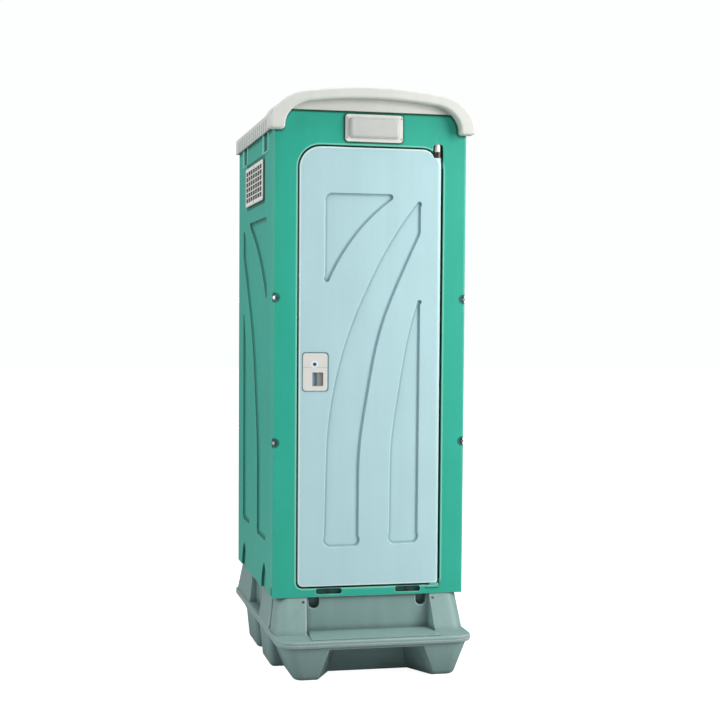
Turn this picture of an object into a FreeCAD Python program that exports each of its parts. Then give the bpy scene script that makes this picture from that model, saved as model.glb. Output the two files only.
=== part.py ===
"""Portable toilet cabin on a stepped waste tank, with its door, lock, toilet and fittings.

Millimetres, +Z up. The origin is on the ground under the middle of the whole cabin.
The door faces -Y, and its hinge is on the +X side.
"""
import FreeCAD, Part
import math
import os

import Sketcher
from FreeCAD import Placement, Rotation, Vector

os.makedirs("parts", exist_ok=True)
doc = FreeCAD.newDocument("portable_toilet_cabin")
sheet = doc.addObject("Spreadsheet::Sheet", "sizes")


# Sizes
class Size:
    """A length or an angle, kept with the expression that works it out from the sheet."""

    def __init__(self, value, text):
        self.value = value
        self.text = text

    def __float__(self):
        return float(self.value)

    def __add__(self, other):
        other = as_size(other)
        return Size(self.value + other.value, f"({self.text} + {other.text})")

    def __sub__(self, other):
        other = as_size(other)
        return Size(self.value - other.value, f"({self.text} - {other.text})")

    def __mul__(self, other):
        other = as_size(other)
        return Size(self.value * other.value, f"({self.text} * {other.text})")

    def __truediv__(self, other):
        other = as_size(other)
        return Size(self.value / other.value, f"({self.text} / {other.text})")

    def __radd__(self, other):
        return as_size(other) + self

    def __rsub__(self, other):
        return as_size(other) - self

    def __rmul__(self, other):
        return as_size(other) * self

    def __neg__(self):
        return Size(-self.value, f"(0 - {self.text})")


def as_size(value):
    """A plain number as a Size."""
    if isinstance(value, Size):
        return value
    return Size(float(value), f"{float(value):.6g}")


sheet_row = 0


def size(alias, value):
    """Writes one driving dimension in the sheet and returns it."""
    global sheet_row
    sheet_row += 1
    sheet.set(f"A{sheet_row}", alias.replace("_", " "))
    sheet.set(f"B{sheet_row}", str(value))
    sheet.setAlias(f"B{sheet_row}", alias)
    return Size(float(value), f"sizes.{alias}")


# Cabin
cabin_width = size("cabin_width", 888)
cabin_depth = size("cabin_depth", 1105)
front_panel_height = size("front_panel_height", 2184)
wall_step_down = size("wall_step_down", 84)
wall_thickness = size("wall_thickness", 30)
wall_rim = size("wall_rim", 60)
wall_web = size("wall_web", 15)
wall_under_roof = size("wall_under_roof", 50)
front_corner_radius = size("front_corner_radius", 81)
pattern_depth = size("pattern_depth", 9)
pattern_foot_radius = size("pattern_foot_radius", 6)
fit_gap = size("fit_gap", 0.3)

# Waste tank and step
base_height = size("base_height", 342)
step_reach = size("step_reach", 200)
rear_reach = size("rear_reach", 135)
flange_width = size("flange_width", 894)
flange_level = size("flange_level", 167)
flange_thickness = size("flange_thickness", 15)
flange_corner = size("flange_corner", 88)
tank_wall = size("tank_wall", 9)
deck_inset = size("deck_inset", 28)
column_lean = size("column_lean", 81)
anchor_level = size("anchor_level", 322)
anchor_spacing = size("anchor_spacing", 604)
anchor_head_radius = size("anchor_head_radius", 5)
anchor_shank_radius = size("anchor_shank_radius", 2.5)
anchor_length = size("anchor_length", 8)
foot_inset = size("foot_inset", 84)
scoop_lean = size("scoop_lean", 72)
pillar_start = size("pillar_start", 0.115)
pillar_end = size("pillar_end", 0.37)
foot_round = size("foot_round", 24)
scoop_width = size("scoop_width", 452)
scoop_back_width = size("scoop_back_width", 300)
scoop_roof = size("scoop_roof", 12)
riser_width = size("riser_width", 590)
riser_setback = size("riser_setback", 14)
notch_width = size("notch_width", 50)
notch_depth = size("notch_depth", 54)
notch_spacing = size("notch_spacing", 500)
drop_radius = size("drop_radius", 84)
port_radius = size("port_radius", 38)
port_level = size("port_level", 352)
port_neck_wall = size("port_neck_wall", 8)
cap_thickness = size("cap_thickness", 14)
cap_overhang = size("cap_overhang", 4)
cap_hinge_reach = size("cap_hinge_reach", 10)
cap_hinge_rise = size("cap_hinge_rise", 5)
small_pin_radius = size("small_pin_radius", 3)
floor_height = size("floor_height", 34)
floor_skin = size("floor_skin", 10)

# Door
door_width = size("door_width", 656)
header_height = size("header_height", 159)
door_lift = size("door_lift", 48)
door_thickness = size("door_thickness", 36)
door_skin = size("door_skin", 20)
door_gap = size("door_gap", 8)
door_top_radius = size("door_top_radius", 98)
door_low_radius = size("door_low_radius", 25)
door_proud = size("door_proud", 3)
stop_width = size("stop_width", 16)
stop_thickness = size("stop_thickness", 14)
barrel_drop = size("barrel_drop", 36)
frame_notch_width = size("frame_notch_width", 48)
frame_notch_rise = size("frame_notch_rise", 26)
pivot_radius = size("pivot_radius", 13)
pivot_clearance = size("pivot_clearance", 0.08)
collar_height = size("collar_height", 27)
pin_seat = size("pin_seat", 60)
low_pin_radius = size("low_pin_radius", 8)

# Lock
lock_width = size("lock_width", 113)
lock_height = size("lock_height", 169)
lock_level = size("lock_level", 1018)
lock_edge_gap = size("lock_edge_gap", 18)
lock_plate_thickness = size("lock_plate_thickness", 9)
lock_window_width = size("lock_window_width", 44)
lock_window_height = size("lock_window_height", 58)
bolt_travel = size("bolt_travel", 20)
bolt_height = size("bolt_height", 22)
bolt_thickness = size("bolt_thickness", 11)

# Roof
roof_side_overhang = size("roof_side_overhang", 14)
roof_rear_overhang = size("roof_rear_overhang", 18)
roof_skirt = size("roof_skirt", 76)
roof_rise = size("roof_rise", 70)
roof_shell = size("roof_shell", 10)
brow_reach = size("brow_reach", 60)
brow_height = size("brow_height", 48)
brow_rise = size("brow_rise", 103)
brow_overhang = size("brow_overhang", 25)
brow_leg = size("brow_leg", 66)
brow_leg_drop = size("brow_leg_drop", 8)
brow_round = size("brow_round", 10)
brow_crown_radius = size("brow_crown_radius", 1955)
brow_crown_angle = size("brow_crown_angle", 9.4)
brow_shoulder_radius = size("brow_shoulder_radius", 194)
brow_shoulder_angle = size("brow_shoulder_angle", 51.2)
under_crown_radius = size("under_crown_radius", 2071)
under_crown_angle = size("under_crown_angle", 8)
under_shoulder_radius = size("under_shoulder_radius", 148)
under_shoulder_angle = size("under_shoulder_angle", 45.9)

# Lamp and side vents
lamp_width = size("lamp_width", 264)
lamp_height = size("lamp_height", 122)
lamp_drop = size("lamp_drop", 73)
lamp_offset = size("lamp_offset", 10)
lamp_base_thickness = size("lamp_base_thickness", 12)
lamp_lens_depth = size("lamp_lens_depth", 22)
vent_width = size("vent_width", 528)
vent_height = size("vent_height", 186)
vent_drop = size("vent_drop", 203)
vent_middle = size("vent_middle", 531)
vent_thickness = size("vent_thickness", 14)

# Toilet and flush
bowl_height = size("bowl_height", 390)
bowl_width = size("bowl_width", 360)
bowl_length = size("bowl_length", 440)
bowl_middle = size("bowl_middle", 150)
bowl_wall = size("bowl_wall", 12)
seat_thickness = size("seat_thickness", 20)
lid_thickness = size("lid_thickness", 14)
hinge_radius = size("hinge_radius", 6)
cistern_width = size("cistern_width", 420)
cistern_depth = size("cistern_depth", 108)
cistern_height = size("cistern_height", 340)
cistern_level = size("cistern_level", 700)
pedal_travel = size("pedal_travel", 45)
pipe_radius = size("pipe_radius", 38)
roll_radius = size("roll_radius", 55)
roll_length = size("roll_length", 110)
roll_core = size("roll_core", 20)

doc.recompute()

# Places worked out from the sizes
half_cabin = cabin_width / 2
cabin_front = step_reach - (cabin_depth + step_reach + rear_reach) / 2
cabin_back = cabin_front + cabin_depth
tank_front = cabin_front - step_reach
tank_back = cabin_back + rear_reach
frame_thickness = door_thickness - door_proud + fit_gap + stop_thickness
side_start = cabin_front + frame_thickness
inner_side = half_cabin - wall_thickness
inner_back = cabin_back - wall_thickness
deck_level = base_height
floor_top = deck_level + floor_height
wall_height = front_panel_height - wall_step_down
roof_edge = deck_level + wall_height
side_top = roof_edge + wall_under_roof
door_height = front_panel_height - header_height - door_lift
door_bottom = deck_level + door_lift
door_top = door_bottom + door_height
door_face = cabin_front - door_proud
door_back = door_face + door_thickness
pivot_x = door_width / 2 - door_thickness / 2
pivot_y = door_face + door_thickness / 2
neck_outer = port_radius + port_neck_wall
cap_hinge_x = neck_outer + cap_hinge_reach
cap_hinge_z = port_level + cap_hinge_rise

nodes = []


# Helpers for features
def bind(obj, prop, value):
    """Ties one property of an object to the sheet."""
    obj.setExpression(prop, as_size(value).text)


def place(obj, at, turn=None):
    """Puts an object at a point worked out from the sheet, turned where that is needed."""
    if turn is not None:
        obj.Placement = Placement(Vector(), turn)
    for axis, value in zip("xyz", at):
        bind(obj, f"Placement.Base.{axis}", value)
    return obj


def box(name, low, high):
    """A block from its lowest to its highest corner."""
    obj = doc.addObject("Part::Box", name)
    for prop, start, end in zip(("Length", "Width", "Height"), low, high):
        bind(obj, prop, as_size(end) - as_size(start))
    return place(obj, low)


TURN_TO = {
    "z": Rotation(),
    "x": Rotation(Vector(0, 1, 0), 90),
    "y": Rotation(Vector(1, 0, 0), -90),
}


def rod(name, axis, start, radius, length):
    """A round bar from a start point along +X, +Y or +Z."""
    obj = doc.addObject("Part::Cylinder", name)
    bind(obj, "Radius", radius)
    bind(obj, "Height", length)
    return place(obj, start, TURN_TO[axis])


def fuse(name, *pieces):
    obj = doc.addObject("Part::MultiFuse", name)
    obj.Shapes = list(pieces)
    obj.Refine = True
    return obj


def cut(name, base, *tools):
    obj = doc.addObject("Part::Cut", name)
    obj.Base = base
    obj.Tool = tools[0] if len(tools) == 1 else fuse(name + "_tools", *tools)
    obj.Refine = True
    return obj


def feature(name, shape):
    """A shape worked out by Part's own functions from values of the sheet."""
    obj = doc.addObject("Part::Feature", name)
    obj.Shape = shape
    return obj


def rounded(name, base, radius, chosen):
    """Rounds the edges of a piece that the test picks."""
    doc.recompute()
    obj = doc.addObject("Part::Fillet", name)
    obj.Base = base
    picked = []
    for number, edge in enumerate(base.Shape.Edges, start=1):
        if chosen(edge):
            picked.append((number, float(radius), float(radius)))
    obj.Edges = picked
    return obj


def node(name, obj):
    """Names a finished sub-part, which is written to its own file."""
    obj.Label = name
    nodes.append(obj)
    return obj


def runs_along(edge, axis, length=0.0):
    """True for a straight edge along an axis, at least as long as asked."""
    if edge.Curve.TypeId != "Part::GeomLine":
        return False
    way = edge.Vertexes[-1].Point - edge.Vertexes[0].Point
    return abs(abs(way.dot(axis)) - way.Length) < 1e-6 and way.Length > length


X_AXIS = Vector(1, 0, 0)
Y_AXIS = Vector(0, 1, 0)
Z_AXIS = Vector(0, 0, 1)


# Helpers for outlines
def arc(start, middle, end):
    return Part.Arc(start, middle, end).toShape()


def line(start, end):
    return Part.makeLine(start, end)


def curve(*points):
    """A smooth curve through a few points."""
    spline = Part.BSplineCurve()
    spline.interpolate(list(points))
    return spline.toShape()


def rounded_rectangle(low, high, radius, to_space):
    """A closed wire in a plane, with its four corners as quarter arcs."""
    (u0, v0), (u1, v1) = low, high
    r = radius
    k = r * (1 - math.sqrt(0.5))
    point = to_space
    edges = [
        line(point(u0 + r, v0), point(u1 - r, v0)),
        arc(point(u1 - r, v0), point(u1 - k, v0 + k), point(u1, v0 + r)),
        line(point(u1, v0 + r), point(u1, v1 - r)),
        arc(point(u1, v1 - r), point(u1 - k, v1 - k), point(u1 - r, v1)),
        line(point(u1 - r, v1), point(u0 + r, v1)),
        arc(point(u0 + r, v1), point(u0 + k, v1 - k), point(u0, v1 - r)),
        line(point(u0, v1 - r), point(u0, v0 + r)),
        arc(point(u0, v0 + r), point(u0 + k, v0 + k), point(u0 + r, v0)),
    ]
    return Part.Wire(edges)


def at_level(z):
    return lambda u, v: Vector(u, v, z)


def slab(wire, way):
    return Part.Face(wire).extrude(way)


# Helpers for sketched bodies
def plane_of(body, role):
    for part in body.Origin.OriginFeatures:
        if part.Role == role:
            return part
    raise ValueError(role)


def new_body(name):
    return doc.addObject("PartDesign::Body", name)


def sketch_on(body, name, role, offset=0.0):
    """An empty sketch on one of the body's own planes, moved along the plane's normal."""
    sketch = body.newObject("Sketcher::SketchObject", name)
    sketch.AttachmentSupport = (plane_of(body, role), [""])
    sketch.MapMode = "FlatFace"
    bind(sketch, "AttachmentOffset.Base.z", offset)
    return sketch


def sketch_rectangle(sketch, centre, width, height):
    """A rectangle held by named constraints that follow the sheet."""
    cu, cv = (float(as_size(value)) for value in centre)
    w, h = float(as_size(width)), float(as_size(height))
    corners = [(cu - w / 2, cv - h / 2), (cu + w / 2, cv - h / 2),
               (cu + w / 2, cv + h / 2), (cu - w / 2, cv + h / 2)]
    first = sketch.GeometryCount
    for start, end in zip(corners, corners[1:] + corners[:1]):
        sketch.addGeometry(Part.LineSegment(Vector(*start, 0), Vector(*end, 0)), False)
    bottom, right, top, left = range(first, first + 4)
    for one, other in ((bottom, right), (right, top), (top, left), (left, bottom)):
        sketch.addConstraint(Sketcher.Constraint("Coincident", one, 2, other, 1))
    for number in (bottom, top):
        sketch.addConstraint(Sketcher.Constraint("Horizontal", number))
    for number in (right, left):
        sketch.addConstraint(Sketcher.Constraint("Vertical", number))
    tie(sketch, "DistanceX", (bottom, 1, bottom, 2), width)
    tie(sketch, "DistanceY", (right, 1, right, 2), height)
    tie(sketch, "DistanceX", (-1, 1, bottom, 1), as_size(centre[0]) - as_size(width) / 2)
    tie(sketch, "DistanceY", (-1, 1, bottom, 1), as_size(centre[1]) - as_size(height) / 2)


def sketch_circle(sketch, centre, radius):
    cu, cv = (float(as_size(value)) for value in centre)
    number = sketch.addGeometry(
        Part.Circle(Vector(cu, cv, 0), Vector(0, 0, 1), float(as_size(radius))), False)
    tie(sketch, "Radius", (number,), radius)
    tie(sketch, "DistanceX", (-1, 1, number, 3), centre[0])
    tie(sketch, "DistanceY", (-1, 1, number, 3), centre[1])


def tie(sketch, kind, where, value):
    """Adds a dimension to a sketch and ties it to the sheet."""
    value = as_size(value)
    number = sketch.addConstraint(Sketcher.Constraint(kind, *where, float(value)))
    sketch.renameConstraint(number, f"{kind}_{number}")
    sketch.setExpression(f"Constraints.{kind}_{number}", value.text)


def pad(body, name, sketch, length, reverse=False):
    obj = body.newObject("PartDesign::Pad", name)
    obj.Profile = sketch
    bind(obj, "Length", length)
    obj.Reversed = reverse
    body.Tip = obj
    return obj


def pocket(body, name, sketch, length, reverse=False):
    """A pocket, refused if it takes nothing away."""
    doc.recompute()
    before = body.Tip.Shape.Volume
    obj = body.newObject("PartDesign::Pocket", name)
    obj.Profile = sketch
    bind(obj, "Length", length)
    obj.Reversed = reverse
    body.Tip = obj
    doc.recompute()
    if obj.Shape.Volume >= before:
        raise ValueError(f"{name} cuts nothing")
    return obj


def round_edges(body, name, radius, chosen):
    doc.recompute()
    base = body.Tip
    obj = body.newObject("PartDesign::Fillet", name)
    names = [f"Edge{n}" for n, edge in enumerate(base.Shape.Edges, start=1) if chosen(edge)]
    obj.Base = (base, names)
    bind(obj, "Radius", radius)
    body.Tip = obj
    return obj


# The three sunk fields that the door and the side walls share.
# u runs from 0 at the plain edge to 1 at the tall edge, v from 0 at the foot to 1 at the top.
def field_outlines(point, corner_u, corner_v):
    """The corner field, the sweeping field and the narrow field, as closed wires."""
    k = 1 - math.sqrt(0.5)
    corner = Part.Wire([
        line(point(0, 0.765), point(0, 1 - corner_v)),
        arc(point(0, 1 - corner_v), point(k * corner_u, 1 - k * corner_v), point(corner_u, 1)),
        line(point(corner_u, 1), point(0.672, 1)),
        arc(point(0.672, 1), point(0.705, 0.994), point(0.692, 0.983)),
        curve(point(0.692, 0.983), point(0.48, 0.932), point(0.278, 0.866), point(0.053, 0.758)),
        arc(point(0.053, 0.758), point(0.018, 0.75), point(0, 0.765)),
    ])
    sweep = Part.Wire([
        line(point(0.02, 0.24), point(0.004, 0.03)),
        arc(point(0.004, 0.03), point(0.02, 0.006), point(0.075, 0)),
        line(point(0.075, 0), point(0.315, 0)),
        arc(point(0.315, 0), point(0.36, 0.005), point(0.368, 0.03)),
        line(point(0.368, 0.03), point(0.37, 0.22)),
        curve(point(0.37, 0.22), point(0.39, 0.305), point(0.458, 0.432), point(0.596, 0.619),
              point(0.793, 0.763), point(0.985, 0.882)),
        arc(point(0.985, 0.882), point(0.998, 0.892), point(1, 0.902)),
        line(point(1, 0.902), point(1, 0.967)),
        arc(point(1, 0.967), point(0.985, 0.981), point(0.955, 0.977)),
        curve(point(0.955, 0.977), point(0.7, 0.876), point(0.481, 0.762), point(0.26, 0.618),
              point(0.081, 0.429), point(0.02, 0.24)),
    ])
    narrow = Part.Wire([
        line(point(0.69, 0.22), point(0.687, 0.035)),
        arc(point(0.687, 0.035), point(0.7, 0.01), point(0.74, 0.005)),
        line(point(0.74, 0.005), point(0.94, 0.006)),
        arc(point(0.94, 0.006), point(0.983, 0.013), point(0.993, 0.035)),
        line(point(0.993, 0.035), point(1, 0.69)),
        arc(point(1, 0.69), point(0.99, 0.702), point(0.97, 0.698)),
        curve(point(0.97, 0.698), point(0.887, 0.619), point(0.759, 0.422), point(0.704, 0.31),
              point(0.69, 0.22)),
    ])
    return [corner, sweep, narrow]


def sunk_fields(point, corner_u, corner_v, inward):
    """Tools that sink the three fields, with the foot of each edge rounded."""
    tools = []
    over = 0.5
    deep = float(pattern_depth) + over
    for wire in field_outlines(point, corner_u, corner_v):
        start = wire.copy()
        start.translate(inward * -over)
        tool = slab(start, inward * deep)
        origin = start.Vertexes[0].Point
        foot = [e for e in tool.Edges
                if all(abs((v.Point - origin).dot(inward) - deep) < 1e-6 for v in e.Vertexes)]
        tools.append(tool.makeFillet(float(pattern_foot_radius), foot))
    return tools


# Waste tank
def tank_outline(z, inset_side, inset_front, inset_back, radius):
    half = float(flange_width) / 2 - inset_side
    return rounded_rectangle((-half, float(tank_front) + inset_front),
                             (half, float(tank_back) - inset_back), radius, at_level(z))


def tank_below():
    """The lower half of the tank: a tub on two front feet and four side lobes."""
    top = float(flange_level)
    skin = float(tank_wall)
    corner = float(flange_corner)
    foot = float(foot_inset)
    rear_slope = float(rear_reach) + foot
    under_rim = top - float(flange_thickness)

    def tub(grow):
        """The tub's outline, drawn in by a wall for its hollow."""
        low = tank_outline(0 if grow == 0 else grow, foot - 4 + grow, 40 + grow,
                           rear_slope + grow, corner / 2 - grow)
        high = tank_outline(top, 12 + grow, 14 + grow, 16 + grow, corner - 14 - grow)
        return Part.makeLoft([low, high], True, True)

    body = rounded_foot(tub(0))
    half = float(flange_width) / 2
    front = float(cabin_front)
    for side in (-1, 1):
        for start, end in ((0.1, 0.35), (0.47, 0.74)):
            y0 = front + start * float(cabin_depth)
            y1 = front + end * float(cabin_depth)
            low = rounded_rectangle((half - foot * 1.6, y0 + 18), (half - 18, y1 - 18), 26,
                                    lambda u, v: Vector(side * u, v, 0))
            high = rounded_rectangle((half - foot * 1.6, y0), (half - 2, y1), 26,
                                     lambda u, v: Vector(side * u, v, top))
            body = body.fuse(rounded_foot(Part.makeLoft([low, high], True, True)))
    rim = slab(tank_outline(under_rim, 0, 0, 0, corner), Vector(0, 0, top - under_rim))
    rim = rim.makeFillet(rim_round(), [e for e in rim.Edges if flat_at(e, under_rim)])
    body = body.fuse(rim)
    body = body.cut(scoop())
    hollow = tub(skin)
    keep_out = scoop_block(skin)
    body = body.cut(hollow.cut(keep_out))
    return body


def flat_at(edge, level):
    return all(abs(vertex.Z - level) < 1e-6 for vertex in edge.Vertexes)


def rim_round():
    return float(flange_thickness) * 0.45


def rounded_foot(body):
    """Rounds the edges that stand on the ground."""
    return body.makeFillet(float(foot_round), [e for e in body.Edges if flat_at(e, 0)])


def scoop():
    """The space between the two front feet, wide at the front and narrow at its back."""
    return scoop_block(0)


def scoop_block(grow):
    top = float(flange_level - flange_thickness - scoop_roof) + grow
    y_front = float(tank_front) - 10
    y_back = float(cabin_front) + 5 + grow
    front_half = float(scoop_width) / 2 + grow
    back_half = float(scoop_back_width) / 2 + grow
    lean = float(scoop_lean)
    front = Part.makePolygon([
        Vector(-front_half - lean, y_front, -5), Vector(front_half + lean, y_front, -5),
        Vector(front_half, y_front, top), Vector(-front_half, y_front, top),
        Vector(-front_half - lean, y_front, -5)])
    back = Part.makePolygon([
        Vector(-back_half - lean / 2, y_back, -5), Vector(back_half + lean / 2, y_back, -5),
        Vector(back_half, y_back, top), Vector(-back_half, y_back, top),
        Vector(-back_half - lean / 2, y_back, -5)])
    return Part.makeLoft([front, back], True, True)


def anchor_places():
    """Where a bolt sits on the lean of each front column, and the way that it faces."""
    drop = float(deck_level) - float(flange_level)
    lean = float(column_lean)
    way = Vector(0, -drop, lean).normalize()
    y = float(cabin_front) + 3 - lean * (float(deck_level) - float(anchor_level)) / drop
    places = [Vector(side * float(anchor_spacing) / 2, y, float(anchor_level)) for side in (-1, 1)]
    return places, way


def tank_above():
    """The upper half of the tank: step, riser, corner columns and the deck for the cabin."""
    low = float(flange_level)
    top = float(deck_level)
    skin = float(tank_wall)
    corner = float(flange_corner)
    half = float(flange_width) / 2
    tread = low + float(flange_thickness)
    inset = float(deck_inset)

    def hood(grow):
        front_inset = float(step_reach) + 3 - float(column_lean)
        foot_line = tank_outline(low, 8 + grow, front_inset + grow, 18 + grow, corner - 30)
        deck_line = rounded_rectangle(
            (-half + inset + grow, float(cabin_front) + 3 + grow),
            (half - inset - grow, float(cabin_back) + 24 - grow), 52, at_level(top - grow))
        return Part.makeLoft([foot_line, deck_line], True, True)

    body = hood(0)
    ends = float(riser_width) / 2
    riser = float(cabin_front) + float(riser_setback)
    mouth = Part.makePolygon([
        Vector(-ends + 10, riser, tread), Vector(ends - 10, riser, tread),
        Vector(ends + 14, riser - 160, tread), Vector(-ends - 14, riser - 160, tread),
        Vector(-ends + 10, riser, tread)])
    body = body.cut(slab(mouth, Vector(0, 0, top)))
    rim = slab(tank_outline(low, 0, 0, 0, corner), Vector(0, 0, tread - low))
    rim = rim.makeFillet(rim_round(), [e for e in rim.Edges if flat_at(e, tread)])
    body = body.fuse(rim)
    pad_back = ends - 18
    pad_wire = Part.makePolygon([
        Vector(-pad_back, riser, tread - 1), Vector(pad_back, riser, tread - 1),
        Vector(pad_back + 16, float(tank_front) + 24, tread - 1),
        Vector(-pad_back - 16, float(tank_front) + 24, tread - 1),
        Vector(-pad_back, riser, tread - 1)])
    tread_pad = slab(pad_wire, Vector(0, 0, 5))
    front_edge = [e for e in tread_pad.Edges if flat_at(e, tread + 4) and runs_along(e, X_AXIS)]
    body = body.fuse(tread_pad.makeFillet(3, front_edge[:1]))
    for side in (-1, 1):
        middle = side * float(notch_spacing) / 2
        wide = float(notch_width) / 2
        bottom = top - float(notch_depth) + wide
        wire = Part.Wire([
            line(Vector(middle - wide, riser - 20, top + 5), Vector(middle - wide, riser - 20, bottom)),
            arc(Vector(middle - wide, riser - 20, bottom), Vector(middle, riser - 20, bottom - wide),
                Vector(middle + wide, riser - 20, bottom)),
            line(Vector(middle + wide, riser - 20, bottom), Vector(middle + wide, riser - 20, top + 5)),
            line(Vector(middle + wide, riser - 20, top + 5), Vector(middle - wide, riser - 20, top + 5))])
        body = body.cut(slab(wire, Vector(0, 20 + skin * 5, 0)))
        front = float(cabin_front)
        for start, end in ((0.085, 0.115), (0.37, 0.4), (0.4, 0.68)):
            y0 = front + start * float(cabin_depth)
            y1 = front + end * float(cabin_depth)
            deep = 26 if end - start > 0.2 else 14
            u0 = half - inset - deep
            groove = rounded_rectangle((u0, y0), (half + 20, y1), 8 if y1 - y0 > 30 else 3,
                                       lambda u, v: Vector(side * u, v, tread + 2))
            body = body.cut(slab(groove, Vector(0, 0, top - tread - 22)))
        y0 = front + float(pillar_start) * float(cabin_depth)
        y1 = front + float(pillar_end) * float(cabin_depth)
        foot_line = rounded_rectangle((half - inset - 26, y0), (half - 1, y1), 10,
                                      lambda u, v: Vector(side * u, v, low))
        deck_line = rounded_rectangle((half - inset - 26, y0 + 8), (half - inset, y1 - 8), 10,
                                      lambda u, v: Vector(side * u, v, top))
        body = body.fuse(Part.makeLoft([foot_line, deck_line], True, True))
    inside = hood(skin)
    pocket_block = Part.makeBox(2 * ends + 28 + 2 * skin, 200, top, Vector(
        -ends - 14 - skin, riser + skin - 200, 0))
    inside = inside.cut(pocket_block)
    for side in (-1, 1):
        y0 = front + 0.075 * float(cabin_depth) - skin
        y1 = front + 0.68 * float(cabin_depth) + skin
        u0 = half - inset - 26 - skin
        inside = inside.cut(Part.makeBox(80, y1 - y0, top, Vector(
            u0 if side > 0 else -u0 - 80, y0, tread - skin)))
        middle = side * float(notch_spacing) / 2
        wide = float(notch_width) / 2 + skin
        inside = inside.cut(Part.makeBox(2 * wide, skin * 6 + 10, float(notch_depth) + skin, Vector(
            middle - wide, riser, top - float(notch_depth) - skin)))
    under_step = tank_outline(low - 1, 22, 24, 40, corner - 24)
    step_hollow = slab(under_step, Vector(0, 0, tread - low - 6 + 1))
    body = body.cut(inside)
    body = body.cut(step_hollow.common(Part.makeBox(
        2 * half, float(step_reach) + 60, 100, Vector(-half, float(tank_front), 0))))
    drop = Part.makeCylinder(float(drop_radius), 4 * skin, Vector(0, float(bowl_middle), top - 2 * skin))
    neck_rise = float(port_level) - tread + 2
    neck = Part.makeCylinder(float(neck_outer), neck_rise, Vector(0, port_y(), tread - 2))
    port = Part.makeCylinder(float(port_radius), 300, Vector(0, port_y(), low - 20))
    ears = []
    for way in (-1, 1):
        ear_y = port_y() + way * 18 - 3
        ear_end = float(cap_hinge_x) + 7
        ear_top = float(cap_hinge_rise) + 4.6
        under = float(port_radius) + 2
        beyond = float(neck_outer + cap_overhang) + 0.5
        ears.append(Part.makeBox(ear_end - under, 6, 12, Vector(under, ear_y, float(port_level) - 12)))
        ears.append(Part.makeBox(
            ear_end - beyond, 6, ear_top + 1, Vector(beyond, ear_y, float(port_level) - 1)))
    body = body.fuse([neck] + ears)
    pin_bore = Part.makeCylinder(float(small_pin_radius), 60, Vector(
        float(cap_hinge_x), port_y() - 30, float(cap_hinge_z)), Y_AXIS)
    anchors, way = anchor_places()
    shank = float(anchor_shank_radius)
    anchor_bores = [Part.makeCylinder(shank, float(anchor_length) + 2, at + way, way * -1) for at in anchors]
    body = body.cut([pin_bore] + anchor_bores)
    vent = Part.makeCylinder(float(pipe_radius) + 0.3, 4 * skin, Vector(*vent_pipe_at(), top - 2 * skin))
    return body.cut(drop).cut(port).cut(vent)


def port_y():
    return float(cabin_back) + float(rear_reach) / 2 - 2


def vent_pipe_at():
    return float(inner_side) - float(pipe_radius) - 22, float(inner_back) - float(pipe_radius) - 22


lower_tank = node("waste_tank_lower", feature("waste_tank_lower", tank_below()))
upper_tank = node("waste_tank_upper", feature("waste_tank_upper", tank_above()))


# Floor
def floor_tray():
    """A tray with a skin on top and open cells below, drained towards the bowl."""
    gap = float(fit_gap)
    x1 = float(inner_side) - gap
    y0 = float(side_start) + gap
    y1 = float(inner_back) - gap
    low = float(deck_level)
    top = float(floor_top)
    body = Part.makeBox(2 * x1, y1 - y0, top - low, Vector(-x1, y0, low))
    rib = 12
    columns = 4
    rows = 5
    cell_x = (2 * x1 - rib * (columns + 1)) / columns
    cell_y = (y1 - y0 - rib * (rows + 1)) / rows
    cells = []
    for i in range(columns):
        for j in range(rows):
            at = Vector(-x1 + rib + i * (cell_x + rib), y0 + rib + j * (cell_y + rib), low - 1)
            cells.append(Part.makeBox(cell_x, cell_y, top - low - float(floor_skin) + 1, at))
    body = body.cut(Part.makeCompound(cells))
    collar = Part.makeCylinder(float(drop_radius) + 12, top - low, Vector(0, float(bowl_middle), low))
    pipe_x, pipe_y = vent_pipe_at()
    sleeve = Part.makeCylinder(float(pipe_radius) + 10, top - low, Vector(pipe_x, pipe_y, low))
    body = body.fuse([collar, sleeve])
    drop = Part.makeCylinder(float(drop_radius), 200, Vector(0, float(bowl_middle), low - 50))
    vent = Part.makeCylinder(float(pipe_radius) + 0.3, 200, Vector(pipe_x, pipe_y, low - 50))
    return body.cut(drop).cut(vent).removeSplitter()


node("floor_tray", feature("floor_tray", floor_tray()))


# Side walls
pattern_side_low = size("pattern_side_low", 231)
pattern_side_drop = size("pattern_side_drop", 378)
pattern_side_front = size("pattern_side_front", 182)
pattern_side_length = size("pattern_side_length", 752)
corner_notch_radius = size("corner_notch_radius", 17)
corner_notch_depth = size("corner_notch_depth", 13)
corner_bore_radius = size("corner_bore_radius", 4.2)
corner_bolt_level_low = size("corner_bolt_level_low", 700)
corner_bolt_level_high = size("corner_bolt_level_high", 1350)
roof_clip_width = size("roof_clip_width", 150)
foot_pocket_height = size("foot_pocket_height", 126)
foot_pocket_width = size("foot_pocket_width", 165)
clip_front = size("clip_front", 236)
clip_back = size("clip_back", 878)
roof_clip_drop = size("roof_clip_drop", 84)
doc.recompute()
pattern_side_rise = wall_height - pattern_side_drop - pattern_side_low


def corner_notches(x, y, x_way, y_way):
    """Round pockets on a corner edge, one for each bolt that joins two walls."""
    tools = []
    for level in (corner_bolt_level_low, corner_bolt_level_high):
        z = float(deck_level + level)
        inward = Vector(x_way, y_way, 0).normalize()
        centre = Vector(x, y, z) + inward * float(corner_notch_depth)
        tools.append(Part.makeCylinder(float(corner_notch_radius), 60, centre, inward * -1))
        tools.append(Part.makeCylinder(float(corner_bore_radius), 26, centre - inward, inward))
    return tools


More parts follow.
